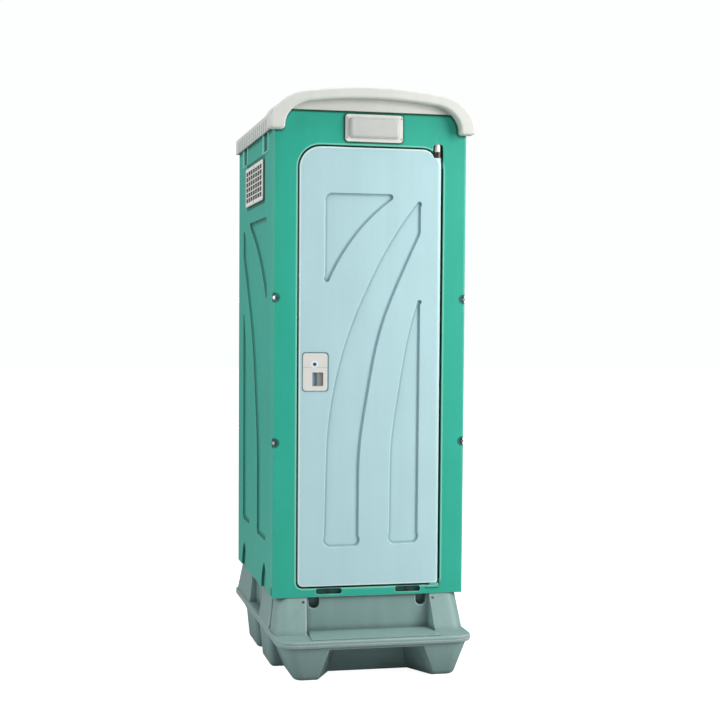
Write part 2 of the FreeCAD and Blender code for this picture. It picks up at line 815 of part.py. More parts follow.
def side_wall(side):
    """A moulded side wall: flat sheet in a deeper rim, with sunk fields outside."""
    outer = float(half_cabin)
    thick = float(wall_thickness)
    y0 = float(side_start)
    y1 = float(cabin_back)
    low = float(deck_level)
    top = float(side_top)
    rim = float(wall_rim)
    x0 = side * outer if side < 0 else outer - thick
    body = Part.makeBox(thick, y1 - y0, top - low, Vector(x0, y0, low))
    back_edge = [e for e in body.Edges if runs_along(e, Z_AXIS)
                 and abs(e.CenterOfMass.x - side * outer) < 1e-6 and e.CenterOfMass.y > 0]
    body = body.makeFillet(10, back_edge)
    inner_x = side * (outer - thick)
    deep = thick - float(wall_web)
    hollow_box = rounded_rectangle(
        (y0 + rim, low + rim), (y1 - thick - rim, top - rim), 30, lambda u, v: Vector(inner_x, u, v))
    vent_middle_y = float(cabin_front) + float(vent_middle)
    vent_low = float(roof_edge - vent_drop - vent_height / 2)
    body = body.cut(slab(hollow_box, Vector(side * deep, 0, 0)))

    front = float(cabin_front) + float(pattern_side_front)
    length = float(pattern_side_length)
    bottom = low + float(pattern_side_low)
    rise = float(pattern_side_rise)

    def point(u, v):
        return Vector(side * outer, front + u * length, bottom + v * rise)

    fields = sunk_fields(point, 45 / length, 45 / rise, Vector(-side, 0, 0))
    body = body.cut(fields)
    pockets = []
    clip = float(roof_clip_width)
    clip_low = float(roof_edge - roof_clip_drop)
    for middle in (clip_front, clip_back):
        y = float(cabin_front + middle)
        wire = rounded_rectangle((y - clip / 2, clip_low), (y + clip / 2, top + 5), 6,
                                 lambda u, v: Vector(side * (outer + 1), u, v))
        pockets.append(slab(wire, Vector(-side * 9, 0, 0)))
        wide = float(foot_pocket_width) / 2
        tall = float(foot_pocket_height)
        tip = Vector(side * (outer + 1), y, low + tall)
        left = Vector(side * (outer + 1), y - wide, low - 5)
        right = Vector(side * (outer + 1), y + wide, low - 5)
        left_mid = Vector(side * (outer + 1), y - wide * 0.8, low + tall * 0.45)
        right_mid = Vector(side * (outer + 1), y + wide * 0.8, low + tall * 0.45)
        arch = Part.Wire([arc(left, left_mid, tip), arc(tip, right_mid, right), line(right, left)])
        pockets.append(slab(arch, Vector(-side * 13, 0, 0)))
    body = body.cut(pockets)
    grow = 16
    frame_wire = rounded_rectangle(
        (vent_middle_y - float(vent_width) / 2 - grow, vent_low - grow),
        (vent_middle_y + float(vent_width) / 2 + grow, vent_low + float(vent_height) + grow + 6), 12,
        lambda u, v: Vector(side * (outer + 1), u, v))
    body = body.cut(slab(frame_wire, Vector(-side * 4, 0, 0)))
    hole_wire = rounded_rectangle(
        (vent_middle_y - float(vent_width) / 2 + 14, vent_low + 14),
        (vent_middle_y + float(vent_width) / 2 - 14, vent_low + float(vent_height) - 14), 6,
        lambda u, v: Vector(side * (outer + 1), u, v))
    body = body.cut(slab(hole_wire, Vector(-side * (thick + 2), 0, 0)))
    notches = corner_notches(side * outer, float(cabin_back), -side, -1)
    notches += corner_notches(side * outer, float(cabin_front), -side, 1)
    return body.cut(notches).removeSplitter()


node("left_side_wall", feature("left_side_wall", side_wall(-1)))
node("right_side_wall", feature("right_side_wall", side_wall(1)))


# Back wall
def back_wall():
    gap = float(fit_gap)
    x1 = float(inner_side) - gap
    low = float(deck_level)
    top = float(side_top)
    thick = float(wall_thickness)
    rim = float(wall_rim)
    body = Part.makeBox(2 * x1, thick, top - low, Vector(-x1, float(inner_back), low))
    hollow = rounded_rectangle((-x1 + rim, low + rim), (x1 - rim, top - rim), 30,
                               lambda u, v: Vector(u, float(inner_back), v))
    body = body.cut(slab(hollow, Vector(0, thick - float(wall_web), 0)))
    bottom = low + float(pattern_side_low)
    rise = float(pattern_side_rise)
    ribs = 5
    step = (2 * x1 - 2 * rim) / ribs
    tools = []
    for number in range(ribs):
        left = -x1 + rim + number * step + step * 0.16
        right = left + step * 0.68
        wire = rounded_rectangle((left, bottom), (right, bottom + rise), 24,
                                 lambda u, v: Vector(u, float(cabin_back), v))
        floor = rounded_rectangle((left + 7, bottom + 7), (right - 7, bottom + rise - 7), 17,
                                  lambda u, v: Vector(u, float(cabin_back) - float(pattern_depth), v))
        tools.append(Part.makeLoft([wire, floor], True, True))
    return body.cut(tools).removeSplitter()


node("back_wall", feature("back_wall", back_wall()))


# Front frame
def door_outline(y, grow, low_radius, top_radius, low_grow=None):
    """The door's outline in the plane y, made larger all round by grow."""
    half = float(door_width) / 2 + grow
    low = float(door_bottom) - (grow if low_grow is None else low_grow)
    top = float(door_top) + grow
    a = low_radius
    b = top_radius
    ka = a * (1 - math.sqrt(0.5))
    kb = b * (1 - math.sqrt(0.5))

    def p(x, z):
        return Vector(x, y, z)

    return Part.Wire([
        line(p(-half + a, low), p(half - a, low)),
        arc(p(half - a, low), p(half - ka, low + ka), p(half, low + a)),
        line(p(half, low + a), p(half, top - b)),
        arc(p(half, top - b), p(half - kb, top - kb), p(half - b, top)),
        line(p(half - b, top), p(-half + b, top)),
        arc(p(-half + b, top), p(-half + kb, top - kb), p(-half, top - b)),
        line(p(-half, top - b), p(-half, low + a)),
        arc(p(-half, low + a), p(-half + ka, low + ka), p(-half + a, low)),
    ])


def front_outline(y, grow):
    half = float(half_cabin) + grow
    low = float(deck_level)
    top = low + float(front_panel_height) + grow
    r = float(front_corner_radius)
    k = r * (1 - math.sqrt(0.5))

    def p(x, z):
        return Vector(x, y, z)

    return Part.Wire([
        line(p(-half, low), p(half, low)),
        line(p(half, low), p(half, top - r)),
        arc(p(half, top - r), p(half - k, top - k), p(half - r, top)),
        line(p(half - r, top), p(-half + r, top)),
        arc(p(-half + r, top), p(-half + k, top - k), p(-half, top - r)),
        line(p(-half, top - r), p(-half, low)),
    ])


threshold_pocket_width = size("threshold_pocket_width", 120)
threshold_pocket_height = size("threshold_pocket_height", 38)
threshold_pocket_spacing = size("threshold_pocket_spacing", 368)
doc.recompute()


def front_frame():
    """The moulded front: door opening, stop for the door, header for the lamp."""
    y0 = float(cabin_front)
    deep = float(frame_thickness)
    body = slab(front_outline(y0, 0), Vector(0, deep, 0))
    face_edges = [e for e in body.Edges if abs(e.CenterOfMass.y - y0) < 1e-6
                  and e.CenterOfMass.z > float(deck_level) + 1]
    body = body.makeFillet(9, face_edges)
    gap = float(door_gap)
    opening_depth = deep - float(stop_thickness)
    opening = slab(door_outline(y0 - 5, gap, float(door_low_radius) + 4, float(door_top_radius) + 6),
                   Vector(0, opening_depth + 5, 0))
    stop = -float(stop_width) + gap
    inner = slab(door_outline(y0 - 5, stop, float(door_low_radius), float(door_top_radius) - 8),
                 Vector(0, deep + 20, 0))
    body = body.cut([opening, inner])
    x = float(pivot_x)
    y = float(pivot_y)
    half_notch = float(frame_notch_width) / 2
    notch_top = float(door_top + frame_notch_rise)
    notch = Part.makeBox(2 * half_notch, opening_depth + 5, 100 + half_notch * 0.2, Vector(
        x - half_notch, y0 - 5, notch_top - 100 - half_notch * 0.2))
    upper_edges = [e for e in notch.Edges if runs_along(e, Y_AXIS) and e.CenterOfMass.z > notch_top - 1]
    notch = notch.makeFillet(half_notch * 0.7, upper_edges)
    bore = Part.makeCylinder(float(pivot_radius), float(pin_seat) - 20, Vector(x, y, notch_top - 1))
    sill = float(door_bottom - door_gap)
    low_bore = Part.makeCylinder(float(low_pin_radius), 22, Vector(x, y, sill - 21.9))
    hinge_side = float(door_width) / 2 + gap
    hinge_corner = Part.makeBox(60, opening_depth + 5, 60, Vector(hinge_side - 60, y0 - 5, sill))
    lamp_z = float(deck_level + front_panel_height - lamp_drop)
    wide = float(lamp_width) / 2 + 3
    tall = float(lamp_height) / 2 + 3
    off = float(lamp_offset)
    recess = slab(rounded_rectangle((off - wide, lamp_z - tall), (off + wide, lamp_z + tall), 14,
                                    lambda u, v: Vector(u, y0 - 1, v)), Vector(0, 4, 0))
    cable = Part.makeCylinder(7, deep + 4, Vector(off, y0 - 2, lamp_z), Vector(0, 1, 0))
    tools = [notch, bore, low_bore, hinge_corner, recess, cable]
    for side in (-1, 1):
        middle = side * float(threshold_pocket_spacing) / 2
        half = float(threshold_pocket_width) / 2
        low = float(deck_level)
        high = low + float(threshold_pocket_height)
        wire = rounded_rectangle((middle - half, low + 12), (middle + half, high), 12,
                                 lambda u, v: Vector(u, y0 - 1, v))
        tools.append(slab(wire, Vector(0, 22, 0)))
        tools += corner_notches(side * float(half_cabin), y0, -side, 1)
    return body.cut(tools)


node("front_frame", feature("front_frame", front_frame()))

# Roof
roof_half = half_cabin + roof_side_overhang
roof_back = cabin_back + roof_rear_overhang


def roof_section(y, grow, foot):
    """The roof's cross-section: upright skirts joined by a low arch, drawn in by grow."""
    half = float(roof_half) - grow
    shoulder = float(roof_edge + roof_skirt) - grow
    crown = shoulder + float(roof_rise)

    def p(x, z):
        return Vector(x, y, z)

    return Part.Wire([
        line(p(-half, foot), p(half, foot)),
        line(p(half, foot), p(half, shoulder - 14)),
        arc(p(half, shoulder - 14), p(half - 4.5, shoulder - 2), p(half - 16, shoulder + 5)),
        arc(p(half - 16, shoulder + 5), p(0, crown), p(-half + 16, shoulder + 5)),
        arc(p(-half + 16, shoulder + 5), p(-half + 4.5, shoulder - 2), p(-half, shoulder - 14)),
        line(p(-half, shoulder - 14), p(-half, foot)),
    ])


def half_arch(y, half, top, crown_radius, crown_turn, shoulder_radius, shoulder_turn):
    """Three tangent arcs from the crown, on x = 0, down to an upright end at x = half."""
    x = 0.0
    z = top
    arcs = []
    turns = (0.0, math.radians(crown_turn), math.radians(shoulder_turn), math.pi / 2)
    for number, (start, end) in enumerate(zip(turns, turns[1:])):
        radius = (crown_radius, shoulder_radius, 0)[number]
        if number == 2:
            radius = (half - x) / (1 - math.sin(start))
        points = []
        for turn in (start, (start + end) / 2, end):
            points.append(Vector(x + radius * (math.sin(turn) - math.sin(start)), y,
                                 z - radius * (math.cos(start) - math.cos(turn))))
        arcs.append(points)
        x = points[-1].x
        z = points[-1].z
    return arcs


def mirrored(arcs):
    """The same arcs on the left, so that the run goes from the left end to the right end."""
    left = [[Vector(-p.x, p.y, p.z) for p in reversed(points)] for points in reversed(arcs)]
    return left + arcs


def brow_arch(y, grow=0.0):
    """The top of the front band, drawn in by grow."""
    top = float(deck_level + front_panel_height + brow_rise) - grow
    half = float(half_cabin + brow_overhang) - grow
    return half_arch(y, half, top, float(brow_crown_radius), float(brow_crown_angle),
                     float(brow_shoulder_radius), float(brow_shoulder_angle))


def under_arch(y):
    """The underside of the front band."""
    top = float(deck_level + front_panel_height + brow_rise - brow_height)
    half = float(half_cabin + brow_overhang - brow_leg)
    return half_arch(y, half, top, float(under_crown_radius), float(under_crown_angle),
                     float(under_shoulder_radius), float(under_shoulder_angle))


def brow_outline(y):
    """The arched front band: a long low arch that turns down over both corners."""
    outer = brow_arch(y)
    inner = under_arch(y)
    foot = float(roof_edge - brow_leg_drop)
    edges = [arc(*points) for points in mirrored(outer) + mirrored(inner)]
    k = 1 - math.sqrt(0.5)
    for side in (-1, 1):
        feet = []
        for end, way in ((outer[-1][-1], -1), (inner[-1][-1], 1)):
            r = end.z - foot
            high = Vector(side * end.x, y, end.z)
            low = Vector(side * (end.x + way * r), y, foot)
            edges.append(arc(high, Vector(side * (end.x + way * r * k), y, foot + r * k), low))
            feet.append(low)
        edges.append(line(feet[0], feet[1]))
    return Part.Wire(Part.__sortEdges__(edges))


def roof():
    y0 = float(cabin_front)
    y1 = float(roof_back)
    shell = float(roof_shell)
    foot = float(roof_edge)
    seat_level = float(side_top)
    body = slab(roof_section(y0 - 4, 0, foot), Vector(0, y1 - y0 + 4, 0))
    blend_end = y0 + 150
    shoulder = float(roof_edge + roof_skirt)
    half = float(roof_half) - 2
    crown = shoulder + float(roof_rise) - 3
    spread = half * half / (2 * (crown - shoulder - 30))
    flat_share = 0.9
    lean = flat_share * half / spread
    corner = half * (1 - flat_share) / (1 - lean)
    behind = half_arch(blend_end, half, crown, spread, math.degrees(math.asin(lean)), corner, 50)
    ends = []
    for arcs in (mirrored(brow_arch(y0 - 12, 2)), mirrored(behind)):
        first = arcs[0][0]
        last = arcs[-1][-1]
        low = [Vector(p.x, p.y, foot) for p in (first, last)]
        ends.append(Part.Wire([arc(*points) for points in arcs] + [
            line(last, low[1]), line(low[1], low[0]), line(low[0], first)]))
    body = body.fuse(Part.makeLoft(ends, True, True))
    inner = slab(roof_section(y0 + 8, shell, foot - 1), Vector(0, y1 - shell - y0 - 8, 0))
    body = body.cut(inner)
    for side in (-1, 1):
        x = float(roof_half) - shell
        ledge = 36
        start = x - ledge if side > 0 else -x
        rail = Part.makeBox(ledge, y1 - shell - float(side_start), 12, Vector(
            start, float(side_start), seat_level))
        body = body.fuse(rail)
        pitch = 62
        count = int((y1 - y0 - 120) / pitch)
        start_x = float(roof_half) - 1 if side > 0 else -float(roof_half) - 3
        ribs = []
        for number in range(count):
            y = y0 + 70 + number * pitch
            ribs.append(Part.makeBox(4, 24, float(roof_skirt) - 34, Vector(start_x, y, foot + 8)))
        body = body.fuse(ribs)
    header_half = float(half_cabin + brow_overhang - brow_leg)
    header_top = float(deck_level + front_panel_height) + float(fit_gap)
    header_room = Part.makeBox(2 * header_half, 14, header_top - foot + 1,
                               Vector(-header_half, y0 - 14, foot - 1))
    body = body.cut(header_room)
    brow = slab(brow_outline(y0 - float(brow_reach)), Vector(0, float(brow_reach) - 4, 0))
    front_edges = [e for e in brow.Edges if abs(e.CenterOfMass.y - (y0 - float(brow_reach))) < 1e-6]
    brow = brow.makeFillet(float(brow_round), front_edges)
    body = body.fuse(brow)
    gap = float(fit_gap)
    frame_room = slab(front_outline(y0 - gap, gap), Vector(0, float(frame_thickness) + gap, 0))
    body = body.cut(frame_room)
    wall_half = float(half_cabin) + gap
    wall_room = Part.makeBox(2 * wall_half, float(cabin_depth) + gap, seat_level - foot + 10,
                             Vector(-wall_half, y0, foot - 10))
    body = body.cut(wall_room)
    pipe_x, pipe_y = vent_pipe_at()
    over_crown = float(brow_rise + wall_step_down) * 2
    return body.cut(Part.makeCylinder(float(pipe_radius) + gap, over_crown, Vector(pipe_x, pipe_y, foot)))


node("roof", feature("roof", roof()))

# Door
pattern_door_edge = size("pattern_door_edge", 116)
pattern_door_width = size("pattern_door_width", 443)
pattern_door_low = size("pattern_door_low", 178)
pattern_door_drop = size("pattern_door_drop", 205)
door_slope_width = size("door_slope_width", 50)
lock_proud = size("lock_proud", 3)
lock_window_drop = size("lock_window_drop", 31)
lock_window_side = size("lock_window_side", 13.5)
lock_slit = size("lock_slit", 16)
flag_width = size("flag_width", 44)
flag_thickness = size("flag_thickness", 2)
stem_width = size("stem_width", 12)
stem_height = size("stem_height", 8)
strike_thickness = size("strike_thickness", 1.5)
case_depth = size("case_depth", 32)
case_width = size("case_width", 110)
case_height = size("case_height", 110)
pull_height = size("pull_height", 130)
pull_radius = size("pull_radius", 8)
pull_reach = size("pull_reach", 34)
pull_level = size("pull_level", 860)
doc.recompute()

pattern_door_rise = door_height - pattern_door_low - pattern_door_drop
door_split = door_face + door_skin
barrel_radius = door_thickness / 2
barrel_top = door_top - barrel_drop
liner_edge = pivot_x - barrel_radius - fit_gap
door_left = -door_width / 2
lock_left = door_left + lock_edge_gap
lock_x = lock_left + lock_width / 2
lock_z = deck_level + lock_level
lock_back = cabin_front - door_proud - lock_proud + lock_plate_thickness
window_x = lock_x + lock_window_side
window_z = lock_z - lock_window_drop
slit_left = window_x - lock_window_width / 2
flag_left = slit_left - 4
stem_x = flag_left + flag_width / 3
stem_z = lock_z - bolt_height / 2 + stem_height / 2 + 1
bolt_front = side_start + strike_thickness + 0.5
bolt_rest_end = lock_left - 2


def leaf_outline(y):
    """The door leaf with its top corner sloped down to the hinge barrel."""
    left = float(door_left)
    right = float(pivot_x)
    low = float(door_bottom)
    top = float(door_top)
    step = float(barrel_top)
    a = float(door_low_radius)
    b = float(door_top_radius)
    ka = a * (1 - math.sqrt(0.5))
    kb = b * (1 - math.sqrt(0.5))
    slope_end = right - float(barrel_radius)
    slope_start = slope_end - float(door_slope_width)

    def p(x, z):
        return Vector(x, y, z)

    return Part.Wire([
        line(p(left + a, low), p(right, low)),
        line(p(right, low), p(right, step)),
        line(p(right, step), p(slope_end, step)),
        arc(p(slope_end, step), p(slope_start + 0.6 * (slope_end - slope_start), top - (top - step) * 0.28),
            p(slope_start, top)),
        line(p(slope_start, top), p(left + b, top)),
        arc(p(left + b, top), p(left + kb, top - kb), p(left, top - b)),
        line(p(left, top - b), p(left, low + a)),
        arc(p(left, low + a), p(left + ka, low + ka), p(left + a, low)),
    ])


def door_point(u, v):
    x = float(door_left + pattern_door_edge) + u * float(pattern_door_width)
    z = float(door_bottom + pattern_door_low) + v * float(pattern_door_rise)
    return Vector(x, float(door_face), z)


def front_panel(middle_x, middle_z, width, height, radius, y, depth):
    """A rounded block seen from the front, from the plane y to the plane y + depth."""
    wide = float(width) / 2
    tall = float(height) / 2
    x = float(middle_x)
    z = float(middle_z)
    wire = rounded_rectangle((x - wide, z - tall), (x + wide, z + tall), float(radius),
                             lambda u, v: Vector(u, float(y), v))
    return slab(wire, Vector(0, float(depth), 0))


def stem_slot(grow):
    """The slot through the door in which the flag's stem slides with the bolt."""
    low_x = float(stem_x - bolt_travel - stem_width / 2) - grow
    high_x = float(stem_x + stem_width / 2) + grow
    tall = float(stem_height) + 2 * grow
    return Part.makeBox(high_x - low_x, float(case_depth) + 40, tall, Vector(
        low_x, float(lock_back) - 1, float(stem_z) - tall / 2))


def door_skin_shape():
    body = slab(leaf_outline(float(door_face)), Vector(0, float(door_skin), 0))
    right = float(pivot_x)
    rim = [e for e in body.Edges if abs(e.CenterOfMass.y - float(door_face)) < 1e-6
           and e.CenterOfMass.x < right - 1 and abs(e.CenterOfMass.z - float(barrel_top)) > 1e-3]
    body = body.makeFillet(4, rim)
    height = float(barrel_top - door_bottom)
    y = float(pivot_y)
    low = float(door_bottom)
    body = body.fuse(Part.makeCylinder(float(barrel_radius), height, Vector(right, y, low)))
    corner_u = 28 / float(pattern_door_width)
    corner_v = 37 / float(pattern_door_rise)
    body = body.cut(sunk_fields(door_point, corner_u, corner_v, Y_AXIS))
    gap = float(fit_gap)
    pocket_depth = float(lock_plate_thickness - lock_proud)
    plate = front_panel(lock_x, lock_z, lock_width + 2 * gap, lock_height + 2 * gap, 14 + gap,
                        door_face - 1, pocket_depth + 1)
    flag_room = front_panel(window_x - 12, window_z + 1, flag_width + bolt_travel + 8,
                            lock_window_height + 14, 2, lock_back - 1, flag_thickness + 2 + 1)
    seat_depth = float(pin_seat) + 1
    wide = float(pivot_radius + pivot_clearance)
    narrow = float(low_pin_radius + pivot_clearance)
    top_seat = Part.makeCylinder(wide, seat_depth, Vector(right, y, low + height - seat_depth + 1))
    low_seat = Part.makeCylinder(narrow, seat_depth, Vector(right, y, low - 1))
    return body.cut([plate, flag_room, stem_slot(0.6), top_seat, low_seat]).removeSplitter()


def door_liner_shape():
    """The inner half of the door, with two long sunk panels and a rounded rim."""
    split = float(door_split)
    deep = float(door_thickness - door_skin)
    back = float(door_back)
    body = slab(leaf_outline(split), Vector(0, deep, 0))
    hinge_room = Part.makeBox(float(door_width), 2 * float(door_thickness), 2 * float(door_top),
                              Vector(float(liner_edge), split - float(door_skin), 0))
    body = body.cut(hinge_room)
    rim = [e for e in body.Edges if abs(e.CenterOfMass.y - back) < 1e-6]
    body = body.makeFillet(3, rim)
    tools = []
    margin = 70
    middle = float(door_left + liner_edge) / 2
    wide = float(liner_edge - door_left) - 2 * margin
    low = float(door_bottom) + margin
    lock_low = float(lock_z) - 240
    lock_high = float(lock_z) + 110
    high = float(door_top) - margin - 60
    for start, end in ((low, lock_low), (lock_high, high)):
        tools.append(front_panel(middle, (start + end) / 2, wide, end - start, 40, back - 4, 5))
    return body.cut(tools + [stem_slot(0.6)])


node("door_outer_skin", feature("door_outer_skin", door_skin_shape()))
node("door_inner_liner", feature("door_inner_liner", door_liner_shape()))

# Hinge of the door
pin_bore = pivot_radius + pivot_clearance
collar = cut("top_pivot_collar",
             rod("collar_ring", "z", (pivot_x, pivot_y, barrel_top), barrel_radius - 1, collar_height),
             rod("collar_bore", "z", (pivot_x, pivot_y, barrel_top - 1), pin_bore, collar_height + 2))
node("top_pivot_collar", collar)
pin_low = barrel_top - pin_seat
header_top = door_top + frame_notch_rise + pin_seat - 21
pin_length = header_top - pin_low
node("top_pivot_pin", cut(
    "top_pivot_pin",
    rod("top_pin_bar", "z", (pivot_x, pivot_y, pin_low), pivot_radius, pin_length),
    rod("top_pin_hollow", "z", (pivot_x, pivot_y, pin_low - 1), pivot_radius - 4, pin_length + 2)))
sill = door_bottom - door_gap
node("bottom_pivot_pin", rod("bottom_pivot_pin", "z", (pivot_x, pivot_y, sill - 21.5), low_pin_radius,
                             21.5 + door_gap + pin_seat - 2))


def pivot_boss():
    """The wedge on the sill that carries the door, with a lip over the front face."""
    y0 = float(cabin_front)
    low = float(sill)
    top = float(door_bottom - fit_gap)
    right = float(pivot_x + barrel_radius)
    left = float(pivot_x - barrel_radius)
    profile = Part.makePolygon([
        Vector(left - 14, y0 + 1, low), Vector(right + 2, y0 + 1, low), Vector(right + 2, y0 + 1, top),
        Vector(left, y0 + 1, top), Vector(left - 14, y0 + 1, low)])
    body = slab(profile, Vector(0, float(door_thickness) - 6, 0))
    lip = Part.makePolygon([
        Vector(left - 24, y0 - 4, low - 11), Vector(right + 2, y0 - 4, low - 11),
        Vector(right + 2, y0 - 4, top), Vector(left, y0 - 4, top), Vector(left - 24, y0 - 4, low - 11)])
    lip_body = slab(lip, Vector(0, 4, 0))
    joint = slab(profile, Vector(0, -1, 0))
    body = body.fuse([lip_body, joint])
    foot = Vector(float(pivot_x), float(pivot_y), low - 30)
    return body.cut(Part.makeCylinder(float(low_pin_radius), 60, foot)).removeSplitter()


node("bottom_pivot_boss", feature("bottom_pivot_boss", pivot_boss()))


# Lock
def escutcheon():
    """The plate outside: a slit that shows the flag, a finger dish and a release slot."""
    face = float(door_face - lock_proud)
    deep = float(lock_plate_thickness)
    body = front_panel(lock_x, lock_z, lock_width, lock_height, 14, face, deep)
    front_edges = [e for e in body.Edges if abs(e.CenterOfMass.y - face) < 1e-6]
    body = body.makeFillet(2.2, front_edges)
    slit = float(lock_slit)
    tall = float(lock_window_height)
    x = float(slit_left)
    z = float(window_z)
    slit_hole = front_panel(x + slit / 2, z, slit, tall, 2, face - 1, deep + 2)
    dish_width = float(lock_window_width) - slit - 3
    dish_x = x + slit + 3 + dish_width / 2
    dish = front_panel(dish_x, z, dish_width, tall, 5, face - 1, deep - 2)
    groove_at = Vector(float(lock_left) + 2, face - 0.2, float(lock_z) + 20.5)
    groove = Part.makeBox(float(lock_width) - 4, 1.2, 1.6, groove_at)
    release_at = Vector(float(lock_x) - 2.5, face - 1, float(lock_z) + 35)
    release = Part.makeCylinder(6, 2, release_at, Y_AXIS)
    return body.cut([slit_hole, dish, groove, release])


node("lock_escutcheon", feature("lock_escutcheon", escutcheon()))

case_left = lock_left
case_low = lock_z - case_height / 2
knob_x = lock_x
case_blank = box("lock_case_blank", (case_left, door_back, case_low),
                 (case_left + case_width, door_back + case_depth, case_low + case_height))
bolt_back = bolt_front + bolt_thickness
channel_half = bolt_height / 2 + fit_gap
channel = box("bolt_channel", (case_left - 1, bolt_front - fit_gap, lock_z - channel_half),
              (case_left + case_width - 8, bolt_back + fit_gap, lock_z + channel_half))
knob_slot = box("knob_slot", (knob_x - bolt_travel - 11, bolt_front, lock_z - 7),
                (knob_x + 11, door_back + case_depth + 1, lock_z + 7))
stem_room_half = stem_height / 2 + 0.6
case_stem = box("case_stem_slot",
                (stem_x - bolt_travel - stem_width / 2 - 0.6, door_back - 1, stem_z - stem_room_half),
                (stem_x + stem_width / 2 + 0.6, bolt_front + 1, stem_z + stem_room_half))
case_round = rounded("lock_case_round", case_blank, 6, lambda e: runs_along(e, Y_AXIS) or (
    e.CenterOfMass.y > float(door_back + case_depth) - 0.1))
node("lock_case", cut("lock_case", case_round, channel, knob_slot, case_stem))
bolt_blank = box("bolt_blank", (bolt_rest_end, bolt_front, lock_z - bolt_height / 2),
                 (lock_x + 26, bolt_back, lock_z + bolt_height / 2))
node("lock_bolt", rounded("lock_bolt", bolt_blank, 3, lambda e: runs_along(e, Z_AXIS)
                          and e.CenterOfMass.x < float(bolt_rest_end) + 1))
knob_back = door_back + case_depth
knob_neck = box("knob_neck", (knob_x - 10, bolt_back, lock_z - 6),
                (knob_x + 10, knob_back + 4, lock_z + 6))
knob_grip = box("knob_grip", (knob_x - 10, knob_back + 4, lock_z - 24),
                (knob_x + 10, knob_back + 20, lock_z + 24))
knob_round = rounded("knob_grip_round", knob_grip, 5, lambda e: e.CenterOfMass.y > float(knob_back) + 6)
node("lock_knob", fuse("lock_knob", knob_neck, knob_round))
flag_front = lock_back + 0.5
flag = box("flag_plate", (flag_left, flag_front, window_z - lock_window_height / 2 - 3),
           (flag_left + flag_width, flag_front + flag_thickness, stem_z + stem_height / 2))
stem = box("flag_stem", (stem_x - stem_width / 2, flag_front + flag_thickness, stem_z - stem_height / 2),
           (stem_x + stem_width / 2, bolt_front, stem_z + stem_height / 2))
node("indicator_flag", fuse("indicator_flag", flag, stem))
lip_edge = door_left + stop_width - door_gap
strike_blank = box("strike_blank", (lip_edge - 54, side_start, lock_z - 32),
                   (lip_edge - 1, side_start + strike_thickness, lock_z + 32))
node("strike_plate", rounded("strike_plate", strike_blank, 6, lambda e: runs_along(e, Y_AXIS)))
pull_x = lock_x
pull_z = deck_level + pull_level
pull_pieces = []
for number, way in enumerate((-1, 1)):
    end_z = pull_z + way * (pull_height / 2)
    pull_pieces.append(rod(f"pull_post_{number}", "y", (pull_x, door_back, end_z), pull_radius, pull_reach))
    pull_pieces.append(rod(f"pull_foot_{number}", "y", (pull_x, door_back, end_z), pull_radius + 8, 4))
pull_pieces.append(rod("pull_bar", "z", (pull_x, door_back + pull_reach, pull_z - pull_height / 2 - 12),
                       pull_radius + 1, pull_height + 24))
node("door_pull", fuse("door_pull", *pull_pieces))


# Lamp
lamp_radius = size("lamp_radius", 14)
lamp_lens_inset = size("lamp_lens_inset", 9)
lamp_screw_radius = size("lamp_screw_radius", 4)
doc.recompute()
lamp_z = deck_level + front_panel_height - lamp_drop
lamp_back = cabin_front + 3
lamp_front = lamp_back - lamp_base_thickness
lamp_body = new_body("lamp_base")
lamp_sketch = sketch_on(lamp_body, "lamp_outline", "XZ_Plane", -lamp_back)
sketch_rectangle(lamp_sketch, (lamp_offset, lamp_z), lamp_width, lamp_height)
pad(lamp_body, "lamp_plate", lamp_sketch, lamp_base_thickness)
round_edges(lamp_body, "lamp_corners", lamp_radius, lambda e: runs_along(e, Y_AXIS))
round_edges(lamp_body, "lamp_rim", 2, lambda e: e.CenterOfMass.y < float(lamp_front) + 1e-3)
lamp_holes = sketch_on(lamp_body, "lamp_screw_holes", "XZ_Plane", -lamp_front)
screw_reach = lamp_width / 2 - lamp_lens_inset / 2 - 1.5
screw_rise = lamp_height / 2 - 16
lamp_screw_places = [(lamp_offset + side * screw_reach, lamp_z + up * screw_rise)
                     for side in (-1, 1) for up in (-1, 1)]
for at in lamp_screw_places:
    sketch_circle(lamp_holes, at, 1.6)
pocket(lamp_body, "lamp_screw_bores", lamp_holes, 9)
node("lamp_base", lamp_body)


def lamp_lens():
    """A clear cover: a tapered tray with an even wall, open at its back."""
    x = float(lamp_offset)
    z = float(lamp_z)
    inset = float(lamp_lens_inset)
    deep = float(lamp_lens_depth)
    wall = 2.5

    def tray(grow, start, depth):
        wires = []
        for share, draft in ((0, 0), (0.75, 5), (1, 12)):
            y = start - depth * share
            lean = draft + grow
            wide = float(lamp_width) / 2 - inset - lean
            tall = float(lamp_height) / 2 - inset - lean
            wires.append(rounded_rectangle((x - wide, z - tall), (x + wide, z + tall), 12,
                                           lambda u, v: Vector(u, y, v)))
        return Part.makeLoft(wires, True, True)

    front = float(lamp_front)
    return tray(0, front, deep).cut(tray(wall, front + 0.01, deep - wall))


node("lamp_lens", feature("lamp_lens", lamp_lens()))
board_reach = lamp_width / 2 - 40
node("lamp_led_board", box("lamp_led_board", (lamp_offset - board_reach, lamp_front - 1.6, lamp_z - 24),
                           (lamp_offset + board_reach, lamp_front, lamp_z + 24)))


def screws(places, way, head_radius, head_height, shank_radius, shank_length):
    """Pan-head screws at the given points, each a solid of its own."""
    solids = []
    for at in places:
        head = Part.makeCylinder(head_radius, head_height, at, way)
        top = [e for e in head.Edges if e.Curve.TypeId == "Part::GeomCircle"
               and abs((e.CenterOfMass - at).dot(way) - head_height) < 1e-6]
        head = head.makeFillet(head_height * 0.45, top)
        shank = Part.makeCylinder(shank_radius, shank_length, at, way * -1)
        solids.append(head.fuse(shank))
    return Part.makeCompound(solids)


